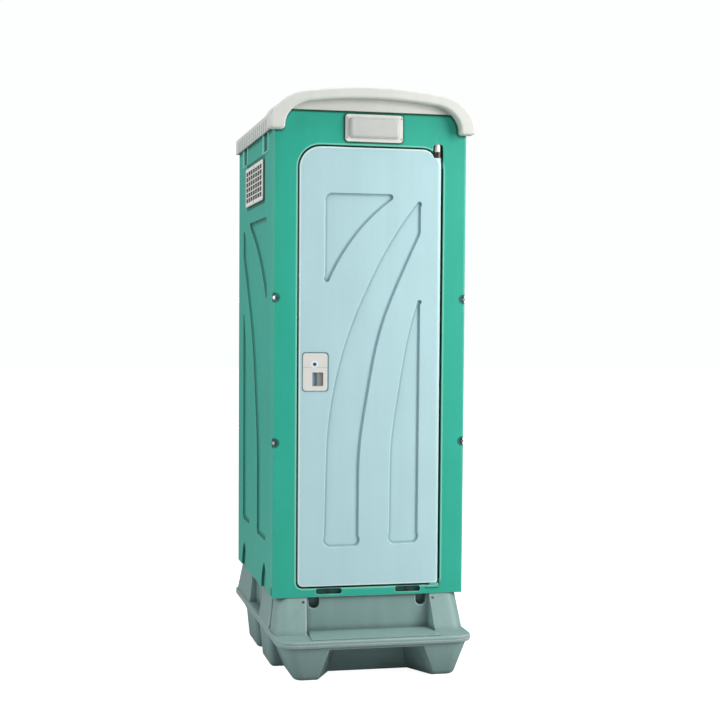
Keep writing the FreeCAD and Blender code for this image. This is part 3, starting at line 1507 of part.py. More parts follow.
node("lamp_screws", feature("lamp_screws", screws(
    [Vector(float(x), float(lamp_front), float(z)) for x, z in lamp_screw_places],
    Vector(0, -1, 0), float(lamp_screw_radius), 2.4, 1.5, 8)))

# Side vents
vent_rows = size("vent_rows", 6)
vent_columns = size("vent_columns", 7)
vent_rim = size("vent_rim", 18)
vent_bar = size("vent_bar", 8)
vent_screw_radius = size("vent_screw_radius", 5)
doc.recompute()
vent_y = cabin_front + vent_middle
vent_z = roof_edge - vent_drop


def vent_grille(side):
    """A raised plate with rows of openings, each row under a sloping blade."""
    back = float(half_cabin) - 3
    thick = float(vent_thickness)
    y = float(vent_y)
    z = float(vent_z)
    wide = float(vent_width) / 2
    tall = float(vent_height) / 2
    rim = float(vent_rim)
    bar = float(vent_bar)
    outline = rounded_rectangle((y - wide, z - tall), (y + wide, z + tall), 10,
                                lambda u, v: Vector(side * back, u, v))
    body = slab(outline, Vector(side * thick, 0, 0))
    front_edges = [e for e in body.Edges if abs(abs(e.CenterOfMass.x) - back - thick) < 1e-6]
    body = body.makeFillet(4, front_edges)
    rows = int(float(vent_rows))
    columns = int(float(vent_columns))
    cell_wide = (2 * wide - 2 * rim - (columns - 1) * bar) / columns
    row_gap = bar * 0.6
    cell_tall = (2 * tall - 2 * rim - (rows - 1) * row_gap) / rows
    holes = []
    for i in range(columns):
        for j in range(rows):
            start_y = y - wide + rim + i * (cell_wide + bar)
            start_z = z - tall + rim + j * (cell_tall + row_gap)
            start_x = back - 1 if side > 0 else -back - thick - 1
            holes.append(Part.makeBox(thick + 2, cell_wide, cell_tall, Vector(start_x, start_y, start_z)))
    body = body.cut(Part.makeCompound(holes))
    blades = []
    for j in range(rows):
        foot = z - tall + rim + j * (cell_tall + row_gap)
        head = foot + cell_tall * 0.72
        profile = Part.makePolygon([
            Vector(side * (back + thick - 4), y - wide + rim - 1, foot - 1),
            Vector(side * (back + thick - 6), y - wide + rim - 1, foot - 1),
            Vector(side * (back + 1), y - wide + rim - 1, head),
            Vector(side * (back + 3), y - wide + rim - 1, head),
            Vector(side * (back + thick - 4), y - wide + rim - 1, foot - 1)])
        blades.append(slab(profile, Vector(0, 2 * wide - 2 * rim + 2, 0)))
    body = body.fuse(blades)
    bores = [Part.makeCylinder(2, thick + 4, Vector(side * (back - 2), y, z + up * (tall - rim / 2)),
                               Vector(side, 0, 0)) for up in (-1, 1)]
    return body.cut(bores).removeSplitter()


node("left_vent_grille", feature("left_vent_grille", vent_grille(-1)))
node("right_vent_grille", feature("right_vent_grille", vent_grille(1)))


def vent_screw_set():
    solids = []
    rise = float(vent_height - vent_rim) / 2
    thick = float(vent_thickness)
    for side in (-1, 1):
        x = side * (float(half_cabin) - 3 + thick)
        seats = [Vector(x, float(vent_y), float(vent_z) + up * rise) for up in (-1, 1)]
        head = float(vent_screw_radius)
        solids += screws(seats, Vector(side, 0, 0), head, 2.2, 1.9, thick).Solids
    return Part.makeCompound(solids)


node("vent_screws", feature("vent_screws", vent_screw_set()))

# Corner bolts
washer_radius = size("washer_radius", 11.5)
washer_thickness = size("washer_thickness", 2)
bolt_head_radius = size("bolt_head_radius", 7.5)
bolt_head_height = size("bolt_head_height", 6)
corner_shank = size("corner_shank", 24)
corner_shank_radius = size("corner_shank_radius", 4)
doc.recompute()


def hexagon(centre, way, radius):
    """A hexagon about an axis, with two of its corners up and down."""
    side = way.cross(Z_AXIS).normalize()
    up = side.cross(way).normalize()
    points = []
    for number in range(6):
        turn = math.radians(60 * number)
        points.append(centre + side * (radius * math.sin(turn)) + up * (radius * math.cos(turn)))
    return Part.makePolygon(points + points[:1])


def corner_places():
    """The seat of each corner bolt and the way that it faces."""
    places = []
    for x_side in (-1, 1):
        for y, y_way in ((float(cabin_front), 1), (float(cabin_back), -1)):
            inward = Vector(-x_side, y_way, 0).normalize()
            for level in (corner_bolt_level_low, corner_bolt_level_high):
                corner = Vector(x_side * float(half_cabin), y, float(deck_level + level))
                places.append((corner + inward * float(corner_notch_depth), inward * -1))
    return places


def corner_hardware():
    washers = []
    bolts = []
    thick = float(washer_thickness)
    shank = float(corner_shank_radius)
    for seat, out in corner_places():
        ring = Part.makeCylinder(float(washer_radius), thick, seat, out)
        washers.append(ring.cut(Part.makeCylinder(shank + 0.2, thick * 3, seat - out, out)))
        head_seat = seat + out * thick
        head = slab(hexagon(head_seat, out, float(bolt_head_radius)), out * float(bolt_head_height))
        bolts.append(head.fuse(Part.makeCylinder(shank, float(corner_shank), head_seat, out * -1)))
    return washers, bolts


washer_solids, bolt_solids = corner_hardware()
node("corner_washers", feature("corner_washers", Part.makeCompound(washer_solids)))
node("corner_bolts", feature("corner_bolts", Part.makeCompound(bolt_solids)))

# Fixings between the cabin and the tank
anchor_seats, anchor_way = anchor_places()
node("anchor_bolts", feature("anchor_bolts", screws(
    anchor_seats, anchor_way, float(anchor_head_radius), 2.4,
    float(anchor_shank_radius), float(anchor_length))))

# Vent pipe
pipe_wall = size("pipe_wall", 3)
pipe_above_roof = size("pipe_above_roof", 20)
clip_rise = size("clip_rise", 700)
clip_drop = size("clip_drop", 400)
cowl_height = size("cowl_height", 60)
doc.recompute()
pipe_at = [as_size(value) for value in vent_pipe_at()]
pipe_low = deck_level - tank_wall
pipe_high = deck_level + front_panel_height + brow_rise - pipe_above_roof
node("vent_pipe", cut("vent_pipe",
                      rod("vent_pipe_bar", "z", (*pipe_at, pipe_low), pipe_radius, pipe_high - pipe_low),
                      rod("vent_pipe_bore", "z", (*pipe_at, pipe_low - 1), pipe_radius - pipe_wall,
                          pipe_high - pipe_low + 2)))


def vent_cowl():
    """A cap on the pipe: a sleeve, four webs and a domed lid with a drip edge."""
    x, y = vent_pipe_at()
    top = float(pipe_high) + 18
    tall = float(cowl_height)
    inner = float(pipe_radius) + 0.3
    sleeve = Part.makeCylinder(inner + 4, tall * 0.5, Vector(x, y, top - tall))
    lid = Part.makeCone(inner + 20, inner + 4, 12, Vector(x, y, top - 12))
    webs = []
    for turn in range(4):
        web = Part.makeBox(inner + 16, 3, tall * 0.5 + 1, Vector(x, y - 1.5, top - 12 - tall * 0.5))
        web.rotate(Vector(x, y, 0), Z_AXIS, 90 * turn)
        webs.append(web)
    body = sleeve.fuse([lid] + webs)
    low = top - tall
    pipe_room = Part.makeCylinder(inner, float(pipe_high) + 0.4 - low, Vector(x, y, low))
    return body.cut(pipe_room).removeSplitter()


node("vent_cowl", feature("vent_cowl", vent_cowl()))


def pipe_clips():
    solids = []
    x, y = vent_pipe_at()
    radius = float(pipe_radius)
    for z in (float(deck_level + clip_rise), float(roof_edge - clip_drop)):
        ring = Part.makeCylinder(radius + 4, 24, Vector(x, y, z))
        foot = Part.makeBox(float(inner_side) - x - 0.1, 20, 24, Vector(x, y - 10, z))
        body = ring.fuse(foot)
        solids.append(body.cut(Part.makeCylinder(radius + 0.05, 30, Vector(x, y, z - 3))))
    return Part.makeCompound(solids)


node("pipe_clips", feature("pipe_clips", pipe_clips()))

# Toilet
throat_radius = size("throat_radius", 78)
chute_wall = size("chute_wall", 4)
chute_drop = size("chute_drop", 42)
seat_hinge_back = size("seat_hinge_back", 195)
seat_hinge_rise = size("seat_hinge_rise", 26)
hinge_clearance = size("hinge_clearance", 0.08)
barrel_outer = size("barrel_outer", 11)
lug_spacing = size("lug_spacing", 200)
lid_angle = size("lid_angle", 102)
lid_length = size("lid_length", 392)
flap_thickness = size("flap_thickness", 4)
doc.recompute()
rim_level = floor_top + bowl_height
hinge_y = bowl_middle + seat_hinge_back
hinge_z = rim_level + seat_hinge_rise
seat_low = rim_level + fit_gap
seat_high = seat_low + seat_thickness
lid_low = seat_high + 0.8


def oval(z, width, front, back):
    """An elongated outline: a half circle in front and a rounded square at the back."""
    r = width / 2
    x = 0
    c = min(r * 0.45, 60)
    k = c * (1 - math.sqrt(0.5))
    y = front + r

    def p(u, v):
        return Vector(x + u, v, z)

    return Part.Wire([
        arc(p(-r, y), p(0, front), p(r, y)),
        line(p(r, y), p(r, back - c)),
        arc(p(r, back - c), p(r - k, back - k), p(r - c, back)),
        line(p(r - c, back), p(-r + c, back)),
        arc(p(-r + c, back), p(-r + k, back - k), p(-r, back - c)),
        line(p(-r, back - c), p(-r, y)),
    ])


def toilet_bowl():
    """A moulded pedestal bowl: sloping sides, a deep hollow and a round throat."""
    front = float(bowl_middle - bowl_length / 2)
    back = float(bowl_middle + bowl_length / 2)
    width = float(bowl_width)
    low = float(floor_top)
    rim = float(rim_level)
    wall = float(bowl_wall)
    outer = [
        oval(low, width - 90, front + 110, back - 8),
        oval(low + 60, width - 110, front + 120, back - 12),
        oval(rim - 90, width - 40, front + 24, back - 2),
        oval(rim - 22, width, front, back)]
    body = Part.makeLoft(outer[:2], True, True).fuse(Part.makeLoft(outer[1:], True, True))
    body = body.fuse(slab(outer[3], Vector(0, 0, 22)))
    middle = float(bowl_middle)
    throat = float(throat_radius) + float(chute_wall) + 0.3
    hollow = Part.makeLoft([
        Part.Wire(Part.makeCircle(throat, Vector(0, middle, low + 34))),
        Part.Wire(Part.makeCircle(throat + 18, Vector(0, middle, low + 150))),
        Part.Wire(Part.makeCircle(width / 2 - 3 * wall, Vector(0, middle - 14, rim + 1)))], True, False)
    duct = Part.makeCylinder(throat, 60, Vector(0, middle, low - 5))
    body = body.cut([hollow, duct])
    for side in (-1, 1):
        x = side * float(lug_spacing) / 2
        lug_at = Vector(x - 8, float(hinge_y) - 12, rim - 2)
        lug = Part.makeBox(16, 24, float(seat_hinge_rise) + 14, lug_at)
        tops = [e for e in lug.Edges if runs_along(e, X_AXIS) and e.CenterOfMass.z > rim + 10]
        body = body.fuse(lug.makeFillet(9, tops))
    pin_at = Vector(-width, float(hinge_y), float(hinge_z))
    pin = Part.makeCylinder(float(hinge_radius), 2 * width, pin_at, X_AXIS)
    flush = Part.makeCylinder(19.3, 90, Vector(0, back + 10, rim - 60), Vector(0, -1, 0))
    return body.cut([pin, flush]).removeSplitter()


node("toilet_bowl", feature("toilet_bowl", toilet_bowl()))
node("seat_hinge_pin", rod("seat_hinge_pin", "x", (-lug_spacing / 2 - 8, hinge_y, hinge_z), hinge_radius,
                           lug_spacing + 16))


def hinge_barrels(middles, length, arm_low, arm_high, reach):
    """Barrels on the hinge pin with arms that reach forward to a seat or lid."""
    pieces = []
    y = float(hinge_y)
    z = float(hinge_z)
    for middle in middles:
        x = middle - length / 2
        barrel = Part.makeCylinder(float(barrel_outer), length, Vector(x, y, z), X_AXIS)
        arm = Part.makeBox(length, reach, arm_high - arm_low, Vector(x, y - reach, arm_low))
        pieces += [barrel, arm]
    bore = Part.makeCylinder(float(hinge_radius + hinge_clearance), 400, Vector(-200, y, z), X_AXIS)
    return pieces, bore


def toilet_seat():
    front = float(bowl_middle - bowl_length / 2) - 4
    back = float(hinge_y) - 30
    low = float(seat_low)
    high = float(seat_high)
    width = float(bowl_width) + 8
    ring = slab(oval(low, width, front, back), Vector(0, 0, high - low))
    top = [e for e in ring.Edges if flat_at(e, high)]
    ring = ring.makeFillet(6, top)
    hole = slab(oval(low - 1, width - 130, front + 66, back - 50), Vector(0, 0, high - low + 2))
    body = ring.cut(hole)
    arms, bore = hinge_barrels((-72, 72), 26, low + 4, high, 50)
    return body.fuse(arms).cut(bore).removeSplitter()


def toilet_lid():
    """The lid, modelled shut and then turned up to where it leans."""
    front = float(hinge_y) - float(lid_length)
    back = float(hinge_y) - 20
    low = float(lid_low)
    high = low + float(lid_thickness)
    body = slab(oval(low, float(bowl_width) + 8, front, back), Vector(0, 0, high - low))
    body = body.makeFillet(5, [e for e in body.Edges if flat_at(e, high)])
    hollow = oval(low - 1, float(bowl_width) - 30, front + 19, back - 19)
    body = body.cut(slab(hollow, Vector(0, 0, high - low - 4)))
    arms, bore = hinge_barrels((-36, 36), 26, low, high, 30)
    body = body.fuse(arms).cut(bore).removeSplitter()
    body.rotate(Vector(0, float(hinge_y), float(hinge_z)), X_AXIS, -float(lid_angle))
    return body


node("toilet_seat", feature("toilet_seat", toilet_seat()))
node("toilet_lid", feature("toilet_lid", toilet_lid()))

chute_low = deck_level - chute_drop
chute_top = floor_top + 30
chute_length = chute_top - chute_low
chute_outer = throat_radius + chute_wall
chute_tube = cut("chute_tube",
                 rod("chute_bar", "z", (0, bowl_middle, chute_low), chute_outer, chute_length),
                 rod("chute_bore", "z", (0, bowl_middle, chute_low - 1), throat_radius, chute_length + 2))
flap_hinge_y = bowl_middle + chute_outer + 12
flap_hinge_z = chute_low - 1
flap_ears = [box(f"flap_ear_{number}", (side * 46 - 5, flap_hinge_y - 40, chute_low - 9),
                 (side * 46 + 5, flap_hinge_y + 8, chute_low + 20)) for number, side in enumerate((-1, 1))]
ear_bore = rod("flap_ear_bore", "x", (-60, flap_hinge_y, flap_hinge_z), 4, 120)
chute_solid = fuse("chute_solid", chute_tube, *flap_ears)
clear_throat = rod("chute_clear", "z", (0, bowl_middle, chute_low - 12), throat_radius, 60)
flap_room = rod("flap_room", "z", (0, bowl_middle, chute_low - 12), chute_outer + 1.2, 12)
node("drop_chute", cut("drop_chute", chute_solid, ear_bore, clear_throat, flap_room))
node("flap_hinge_pin", rod("flap_hinge_pin", "x", (-52, flap_hinge_y, flap_hinge_z), 4, 104))


def bowl_flap():
    """The disc that closes the chute from below, on a barrel at its back."""
    top = float(chute_low) - 0.4
    thick = float(flap_thickness)
    radius = float(throat_radius + chute_wall)
    y = float(flap_hinge_y)
    z = float(flap_hinge_z)
    disc = Part.makeCylinder(radius, thick, Vector(0, float(bowl_middle), top - thick))
    arm = Part.makeBox(60, 40, thick, Vector(-30, y - 40, top - thick))
    barrel = Part.makeCylinder(7, 60, Vector(-30, y, z), X_AXIS)
    rib_at = Vector(-3, float(bowl_middle) - radius + 10, top - thick - 8)
    rib = Part.makeBox(6, 2 * radius - 20, 8, rib_at)
    body = disc.fuse([arm, barrel, rib])
    bore = Part.makeCylinder(4 + float(hinge_clearance), 80, Vector(-40, y, z), X_AXIS)
    return body.cut(bore).removeSplitter()


node("bowl_flap", feature("bowl_flap", bowl_flap()))

# Cistern and flush pipe
cistern_wall = size("cistern_wall", 5)
cistern_lid_height = size("cistern_lid_height", 22)
flush_radius = size("flush_radius", 19)
doc.recompute()
cistern_back = inner_back - fit_gap
cistern_front = cistern_back - cistern_depth
cistern_low = floor_top + cistern_level
cistern_high = cistern_low + cistern_height


def cistern_body():
    low = float(cistern_low)
    high = float(cistern_high)
    wall = float(cistern_wall)
    half = float(cistern_width) / 2
    y0 = float(cistern_front)
    y1 = float(cistern_back)

    def shell(grow):
        base = rounded_rectangle((-half + 14 + grow, y0 + 4 + grow), (half - 14 - grow, y1 - grow), 20,
                                 at_level(low + grow))
        head = rounded_rectangle((-half + grow, y0 + grow), (half - grow, y1 - grow), 24,
                                 at_level(high + (1 if grow else 0)))
        return Part.makeLoft([base, head], True, True)

    outlet = Part.makeCylinder(float(flush_radius), 60, Vector(0, float(flush_y), low - 20))
    return shell(0).cut(shell(wall)).cut(outlet)


flush_y = cistern_front + cistern_depth * 0.6
node("cistern_body", feature("cistern_body", cistern_body()))


def cistern_lid():
    half = float(cistern_width) / 2 + 3
    y0 = float(cistern_front) - 2
    y1 = float(cistern_back)
    low = float(cistern_high)
    high = low + float(cistern_lid_height)
    outline = rounded_rectangle((-half, y0), (half, y1), 26, at_level(low))
    body = slab(outline, Vector(0, 0, high - low))
    return body.makeFillet(7, [e for e in body.Edges if flat_at(e, high)])


node("cistern_lid", feature("cistern_lid", cistern_lid()))


def flush_pipe():
    """A pipe down from the cistern with one smooth bend forward into the bowl."""
    radius = float(flush_radius)
    y_bowl = float(bowl_middle + bowl_length / 2) - 12
    z_bowl = float(rim_level) - 60
    y_drop = float(flush_y)
    bend = 60
    centre_y = y_drop - bend
    centre_z = z_bowl + bend
    k = bend * math.sqrt(0.5)
    start = Vector(0, y_drop, float(cistern_low) + 6)
    bend_start = Vector(0, y_drop, centre_z)
    bend_end = Vector(0, centre_y, z_bowl)
    path = Part.Wire([
        line(start, bend_start),
        arc(bend_start, Vector(0, centre_y + k, centre_z - k), bend_end),
        line(bend_end, Vector(0, y_bowl, z_bowl))])
    outer = Part.Wire(Part.makeCircle(radius, start, Z_AXIS))
    inner = Part.Wire(Part.makeCircle(radius - 2.5, start, Z_AXIS))
    return path.makePipeShell([outer], True, False).cut(path.makePipeShell([inner], True, False))


node("flush_pipe", feature("flush_pipe", flush_pipe()))

# Foot pump
pump_x = size("pump_x", 250)
pump_y = size("pump_y", 90)
pump_radius = size("pump_radius", 34)
pump_wall = size("pump_wall", 4)
pump_height = size("pump_height", 104)
pump_rod_radius = size("pump_rod_radius", 7)
pump_rod_rise = size("pump_rod_rise", 58)
pump_cap_height = size("pump_cap_height", 12)
piston_height = size("piston_height", 14)
spring_wire = size("spring_wire", 2.5)
spring_turns = size("spring_turns", 5)
pad_radius = size("pad_radius", 36)
pad_height = size("pad_height", 16)
doc.recompute()
pump_low = floor_top
pump_top = pump_low + pump_height
pump_bore = pump_radius - pump_wall
pump_flange = rod("pump_flange", "z", (pump_x, pump_y, pump_low), pump_radius + 14, 5)
pump_wall_bar = rod("pump_wall_bar", "z", (pump_x, pump_y, pump_low), pump_radius, pump_height)
pump_tube = fuse("pump_tube", pump_flange, pump_wall_bar)
node("pump_cylinder", cut("pump_cylinder", pump_tube, rod(
    "pump_hollow", "z", (pump_x, pump_y, pump_low + 5), pump_bore, pump_height)))
cap_blank = rod("pump_cap_blank", "z", (pump_x, pump_y, pump_top), pump_radius + 2, pump_cap_height)
cap_round = rounded("pump_cap_round", cap_blank, 3, lambda e: e.CenterOfMass.z > float(pump_top) + 6
                    and e.Curve.TypeId == "Part::GeomCircle")
cap_bore = rod("pump_cap_bore", "z", (pump_x, pump_y, pump_top - 1), pump_rod_radius + hinge_clearance,
               pump_cap_height + 2)
node("pump_cap", cut("pump_cap", cap_round, cap_bore))
piston_top = pump_top - 4
rod_top = pump_top + pump_cap_height + pump_rod_rise
piston_low = piston_top - piston_height
piston_radius = pump_bore - hinge_clearance
node("pump_piston", fuse(
    "pump_piston",
    rod("piston_disc", "z", (pump_x, pump_y, piston_low), piston_radius, piston_height),
    rod("piston_rod", "z", (pump_x, pump_y, piston_low), pump_rod_radius, rod_top - piston_low)))
pad_blank = rod("foot_pad_blank", "z", (pump_x, pump_y, rod_top), pad_radius, pad_height)
node("foot_pad", rounded("foot_pad", pad_blank, 4, lambda e: e.Curve.TypeId == "Part::GeomCircle"))


def pump_spring():
    """The coil that lifts the piston, between the cylinder's foot and the piston."""
    wire = float(spring_wire)
    radius = float(pump_bore) - wire - 6
    low = float(pump_low) + 5 + wire + 0.2
    high = float(piston_low) - wire - 0.2
    helix = Part.makeHelix((high - low) / float(spring_turns), high - low, radius)
    section = Part.Wire(Part.makeCircle(wire, Vector(radius, 0, 0), Y_AXIS))
    coil = Part.Wire(helix).makePipeShell([section], True, True)
    coil.translate(Vector(float(pump_x), float(pump_y), low))
    return coil


node("pump_spring", feature("pump_spring", pump_spring()))

# Paper holder on the left wall
holder_level = size("holder_level", 700)
holder_y = size("holder_y", -60)
holder_wall = size("holder_wall", 4)
cover_gap = size("cover_gap", 6)
spindle_radius = size("spindle_radius", 8)
doc.recompute()
web_face = half_cabin - wall_web
roll_z = floor_top + holder_level
roll_x = -web_face + holder_wall + roll_radius + 6
cheek_y0 = holder_y - roll_length / 2 - 6
cheek_y1 = holder_y + roll_length / 2 + 6
cheek_starts = (cheek_y0 - holder_wall, cheek_y1)
holder_start = cheek_y0 - holder_wall
holder_length = cheek_y1 + holder_wall - holder_start
holder_back = box("holder_back", (-web_face, holder_start, roll_z - roll_radius - 10),
                  (-web_face + holder_wall, holder_start + holder_length, roll_z + roll_radius + 26))
cheeks = [box(f"holder_cheek_{number}", (-web_face, start, roll_z - 24),
              (roll_x + 16, start + holder_wall, roll_z + 24))
          for number, start in enumerate(cheek_starts)]
cover_hinge_x = -web_face + holder_wall + 7
cover_hinge_z = roll_z + roll_radius + 16
cover_ears = [box(f"cover_ear_{number}", (-web_face, start, cover_hinge_z - 8),
                  (cover_hinge_x + 6, start + holder_wall, cover_hinge_z + 8))
              for number, start in enumerate(cheek_starts)]
holder_solid = fuse("holder_solid", holder_back, *cheeks, *cover_ears)
spindle_seats = rod("spindle_seats", "y", (roll_x, holder_start - 1, roll_z), spindle_radius,
                    holder_length + 2)
cover_pin_seats = rod("cover_pin_seats", "y", (cover_hinge_x, holder_start - 1, cover_hinge_z),
                      small_pin_radius, holder_length + 2)
node("paper_holder", cut("paper_holder", holder_solid, spindle_seats, cover_pin_seats))
hub_radius = roll_core - hinge_clearance
spindle_pieces = [rod("spindle_bar", "y", (roll_x, holder_start, roll_z), spindle_radius, holder_length)]
for number, start in enumerate((holder_y - roll_length / 2 + 4, holder_y + roll_length / 2 - 20)):
    spindle_pieces.append(rod(f"spindle_hub_{number}", "y", (roll_x, start, roll_z), hub_radius, 16))
node("paper_spindle", fuse("paper_spindle", *spindle_pieces))
roll_start = holder_y - roll_length / 2
core_outer = roll_core + 1.5


def roll_tube(name, outer, inner):
    """A tube on the roll's axis, as long as the roll."""
    return cut(name, rod(f"{name}_bar", "y", (roll_x, roll_start, roll_z), outer, roll_length),
               rod(f"{name}_bore", "y", (roll_x, roll_start - 1, roll_z), inner, roll_length + 2))


node("paper_core", roll_tube("paper_core", core_outer, roll_core))
node("paper_roll", roll_tube("paper_roll", roll_radius, core_outer))
node("cover_hinge_pin", rod("cover_hinge_pin", "y", (cover_hinge_x, holder_start, cover_hinge_z),
                            small_pin_radius, holder_length))


def paper_cover():
    """The hood over the roll: a curved sheet that hangs from a barrel at the wall."""
    inner = float(roll_radius + cover_gap)
    thick = 2.5
    x = float(roll_x)
    z = float(roll_z)
    y0 = float(cheek_y0) + 0.6
    y1 = float(cheek_y1) - 0.6

    def at(radius, turn):
        angle = math.radians(turn)
        return Vector(x + radius * math.cos(angle), y0, z + radius * math.sin(angle))

    outer = inner + thick
    start, middle, end = -10, 45, 100
    section = Part.Wire([
        arc(at(inner, start), at(inner, middle), at(inner, end)),
        line(at(inner, end), at(outer, end)),
        arc(at(outer, end), at(outer, middle), at(outer, start)),
        line(at(outer, start), at(inner, start))])
    hood = slab(section, Vector(0, y1 - y0, 0))
    hinge = Vector(float(cover_hinge_x), y0, float(cover_hinge_z))
    barrel = Part.makeCylinder(6, y1 - y0, hinge, Y_AXIS)
    tip = at(outer, end)
    arm = Part.makePolygon([tip, at(inner, end), Vector(hinge.x, y0, hinge.z - 5),
                            Vector(hinge.x, y0, hinge.z - 1), tip])
    body = hood.fuse([barrel, slab(arm, Vector(0, y1 - y0, 0))])
    bore_radius = float(small_pin_radius + hinge_clearance)
    bore = Part.makeCylinder(bore_radius, y1 - y0 + 2, hinge - Y_AXIS, Y_AXIS)
    return body.cut(bore).removeSplitter()


node("paper_cover", feature("paper_cover", paper_cover()))

# Small fittings inside
rail_radius = size("rail_radius", 14)
rail_length = size("rail_length", 420)
rail_level = size("rail_level", 760)
rail_y = size("rail_y", 60)
rail_reach = size("rail_reach", 62)
hook_level = size("hook_level", 1440)
doc.recompute()
rail_z = floor_top + rail_level
rail_x = web_face - rail_reach
rail_pieces = [rod("rail_bar", "y", (rail_x, rail_y - rail_length / 2 - rail_radius, rail_z), rail_radius,
                   rail_length + 2 * rail_radius)]
for number, way in enumerate((-1, 1)):
    end_y = rail_y + way * (rail_length / 2)
    rail_pieces.append(rod(f"rail_post_{number}", "x", (rail_x, end_y, rail_z), rail_radius - 1, rail_reach))
    foot_at = (web_face - 5, end_y, rail_z)
    rail_pieces.append(rod(f"rail_foot_{number}", "x", foot_at, rail_radius + 16, 5))
node("grab_rail", fuse("grab_rail", *rail_pieces))
hook_z = floor_top + hook_level
hook_plate = box("hook_plate", (-web_face, 220, hook_z - 30), (-web_face + 4, 250, hook_z + 30))
hook_arm = rod("hook_arm", "x", (-web_face + 3, 235, hook_z - 12), 5, 45)
hook_tip = rod("hook_tip", "z", (-web_face + 44, 235, hook_z - 16), 5, 30)
hook_knob = rod("hook_knob", "z", (-web_face + 44, 235, hook_z + 10), 8, 9)
node("coat_hook", fuse("coat_hook", hook_plate, hook_arm, hook_tip, hook_knob))

# Suction port cap
cap_low = port_level + 0.4


def suction_cap():
    y = port_y()
    radius = float(neck_outer + cap_overhang)
    low = float(cap_low)
    lid = Part.makeCylinder(radius, float(cap_thickness), Vector(0, y, low))
    lid = lid.makeFillet(4, [e for e in lid.Edges if flat_at(e, low + float(cap_thickness))])
    plug = Part.makeCylinder(float(port_radius) - 1.5, 6.4, Vector(0, y, low - 6))
    hinge = Vector(float(cap_hinge_x), y - 14, float(cap_hinge_z))
    barrel = Part.makeCylinder(6, 28, hinge, Y_AXIS)
    arm = Part.makeBox(30, 28, 5, Vector(float(cap_hinge_x) - 30, y - 14, low))
    tab = Part.makeBox(18, 24, 6, Vector(-radius - 12, y - 12, low))
    body = lid.fuse([plug, barrel, arm, tab])
    bore = Part.makeCylinder(float(small_pin_radius + hinge_clearance), 40, hinge - Y_AXIS * 6, Y_AXIS)
    return body.cut(bore).removeSplitter()


node("suction_cap", feature("suction_cap", suction_cap()))
node("cap_hinge_pin", rod("cap_hinge_pin", "y", (cap_hinge_x, port_y() - 22, cap_hinge_z),
                          small_pin_radius, 44))

doc.recompute()


# Output
def check_and_write():
    failed = [obj.Name for obj in doc.Objects if {"Invalid", "Error"} & set(obj.State)]
    if failed:
        raise ValueError(f"failed: {failed}")
    for obj in nodes:
        if obj.Shape.isNull() or not obj.Shape.isValid():
            raise ValueError(f"{obj.Label} has no valid shape")
    for obj in nodes:
        obj.Shape.exportStep(f"parts/{obj.Label}.step")
        solids = len(obj.Shape.Solids)
        print(f"{obj.Label}: {solids} solids, {obj.Shape.Volume / 1e6:.3f} litres")


check_and_write()
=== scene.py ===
import math

import bmesh
import bpy
from mathutils import Matrix, Vector


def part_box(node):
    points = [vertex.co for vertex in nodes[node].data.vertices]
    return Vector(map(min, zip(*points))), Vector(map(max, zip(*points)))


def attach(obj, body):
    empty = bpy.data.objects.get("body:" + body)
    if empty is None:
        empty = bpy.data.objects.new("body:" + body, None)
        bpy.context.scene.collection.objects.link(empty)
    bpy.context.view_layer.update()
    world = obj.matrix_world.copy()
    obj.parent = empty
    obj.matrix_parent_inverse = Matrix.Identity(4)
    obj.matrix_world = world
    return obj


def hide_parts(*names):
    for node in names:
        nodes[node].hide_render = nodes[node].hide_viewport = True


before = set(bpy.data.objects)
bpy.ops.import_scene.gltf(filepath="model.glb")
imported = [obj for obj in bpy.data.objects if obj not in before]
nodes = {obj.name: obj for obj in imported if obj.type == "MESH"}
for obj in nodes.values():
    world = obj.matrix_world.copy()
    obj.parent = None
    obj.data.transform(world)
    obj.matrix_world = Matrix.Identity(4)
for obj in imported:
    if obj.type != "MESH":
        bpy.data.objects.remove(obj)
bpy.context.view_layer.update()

# %% [markdown]
# The photograph was taken from the front, a little to the left and at about chest height. The camera stands
# at the place and with the lens that lay the corners of the cabin on the corners in the picture. Its sensor
# is shifted a little, because the optical axis passed below the middle of the picture.
# %% The camera
EYE = Vector((-1.491, -6.941, 1.593))
YAW = math.radians(12.685)
PITCH = math.radians(2.785)
ROLL = math.radians(-0.406)
LENS = 72.9
SENSOR = 36.0
RISE = 0.0435


def camera_turn(yaw, pitch, roll):
    """The camera's turn: it looks along +Y turned by yaw, down by pitch, and rolled about its own axis."""
    ahead = Vector((math.sin(yaw) * math.cos(pitch), math.cos(yaw) * math.cos(pitch), -math.sin(pitch)))
    side = Vector((math.cos(yaw), -math.sin(yaw), 0))
    down = ahead.cross(side)
    level = math.cos(roll) * side + math.sin(roll) * down
    drop = -math.sin(roll) * side + math.cos(roll) * down
    return Matrix((level, -drop, -ahead)).transposed()


def added(name, data):
    """A new object in the scene."""
    made = bpy.data.objects.new(name, data)
    bpy.context.scene.collection.objects.link(made)
    return made


def add_camera():
    lens = bpy.data.cameras.new("camera")
    lens.lens = LENS
    lens.sensor_width = SENSOR
    lens.sensor_fit = "HORIZONTAL"
    lens.shift_y = RISE
    lens.clip_end = 200
    camera = added("camera", lens)
    camera.matrix_world = Matrix.Translation(EYE) @ camera_turn(YAW, PITCH, ROLL).to_4x4()
    bpy.context.scene.camera = camera
    return camera


camera = add_camera()
print("camera at", [round(x, 3) for x in camera.matrix_world.translation])

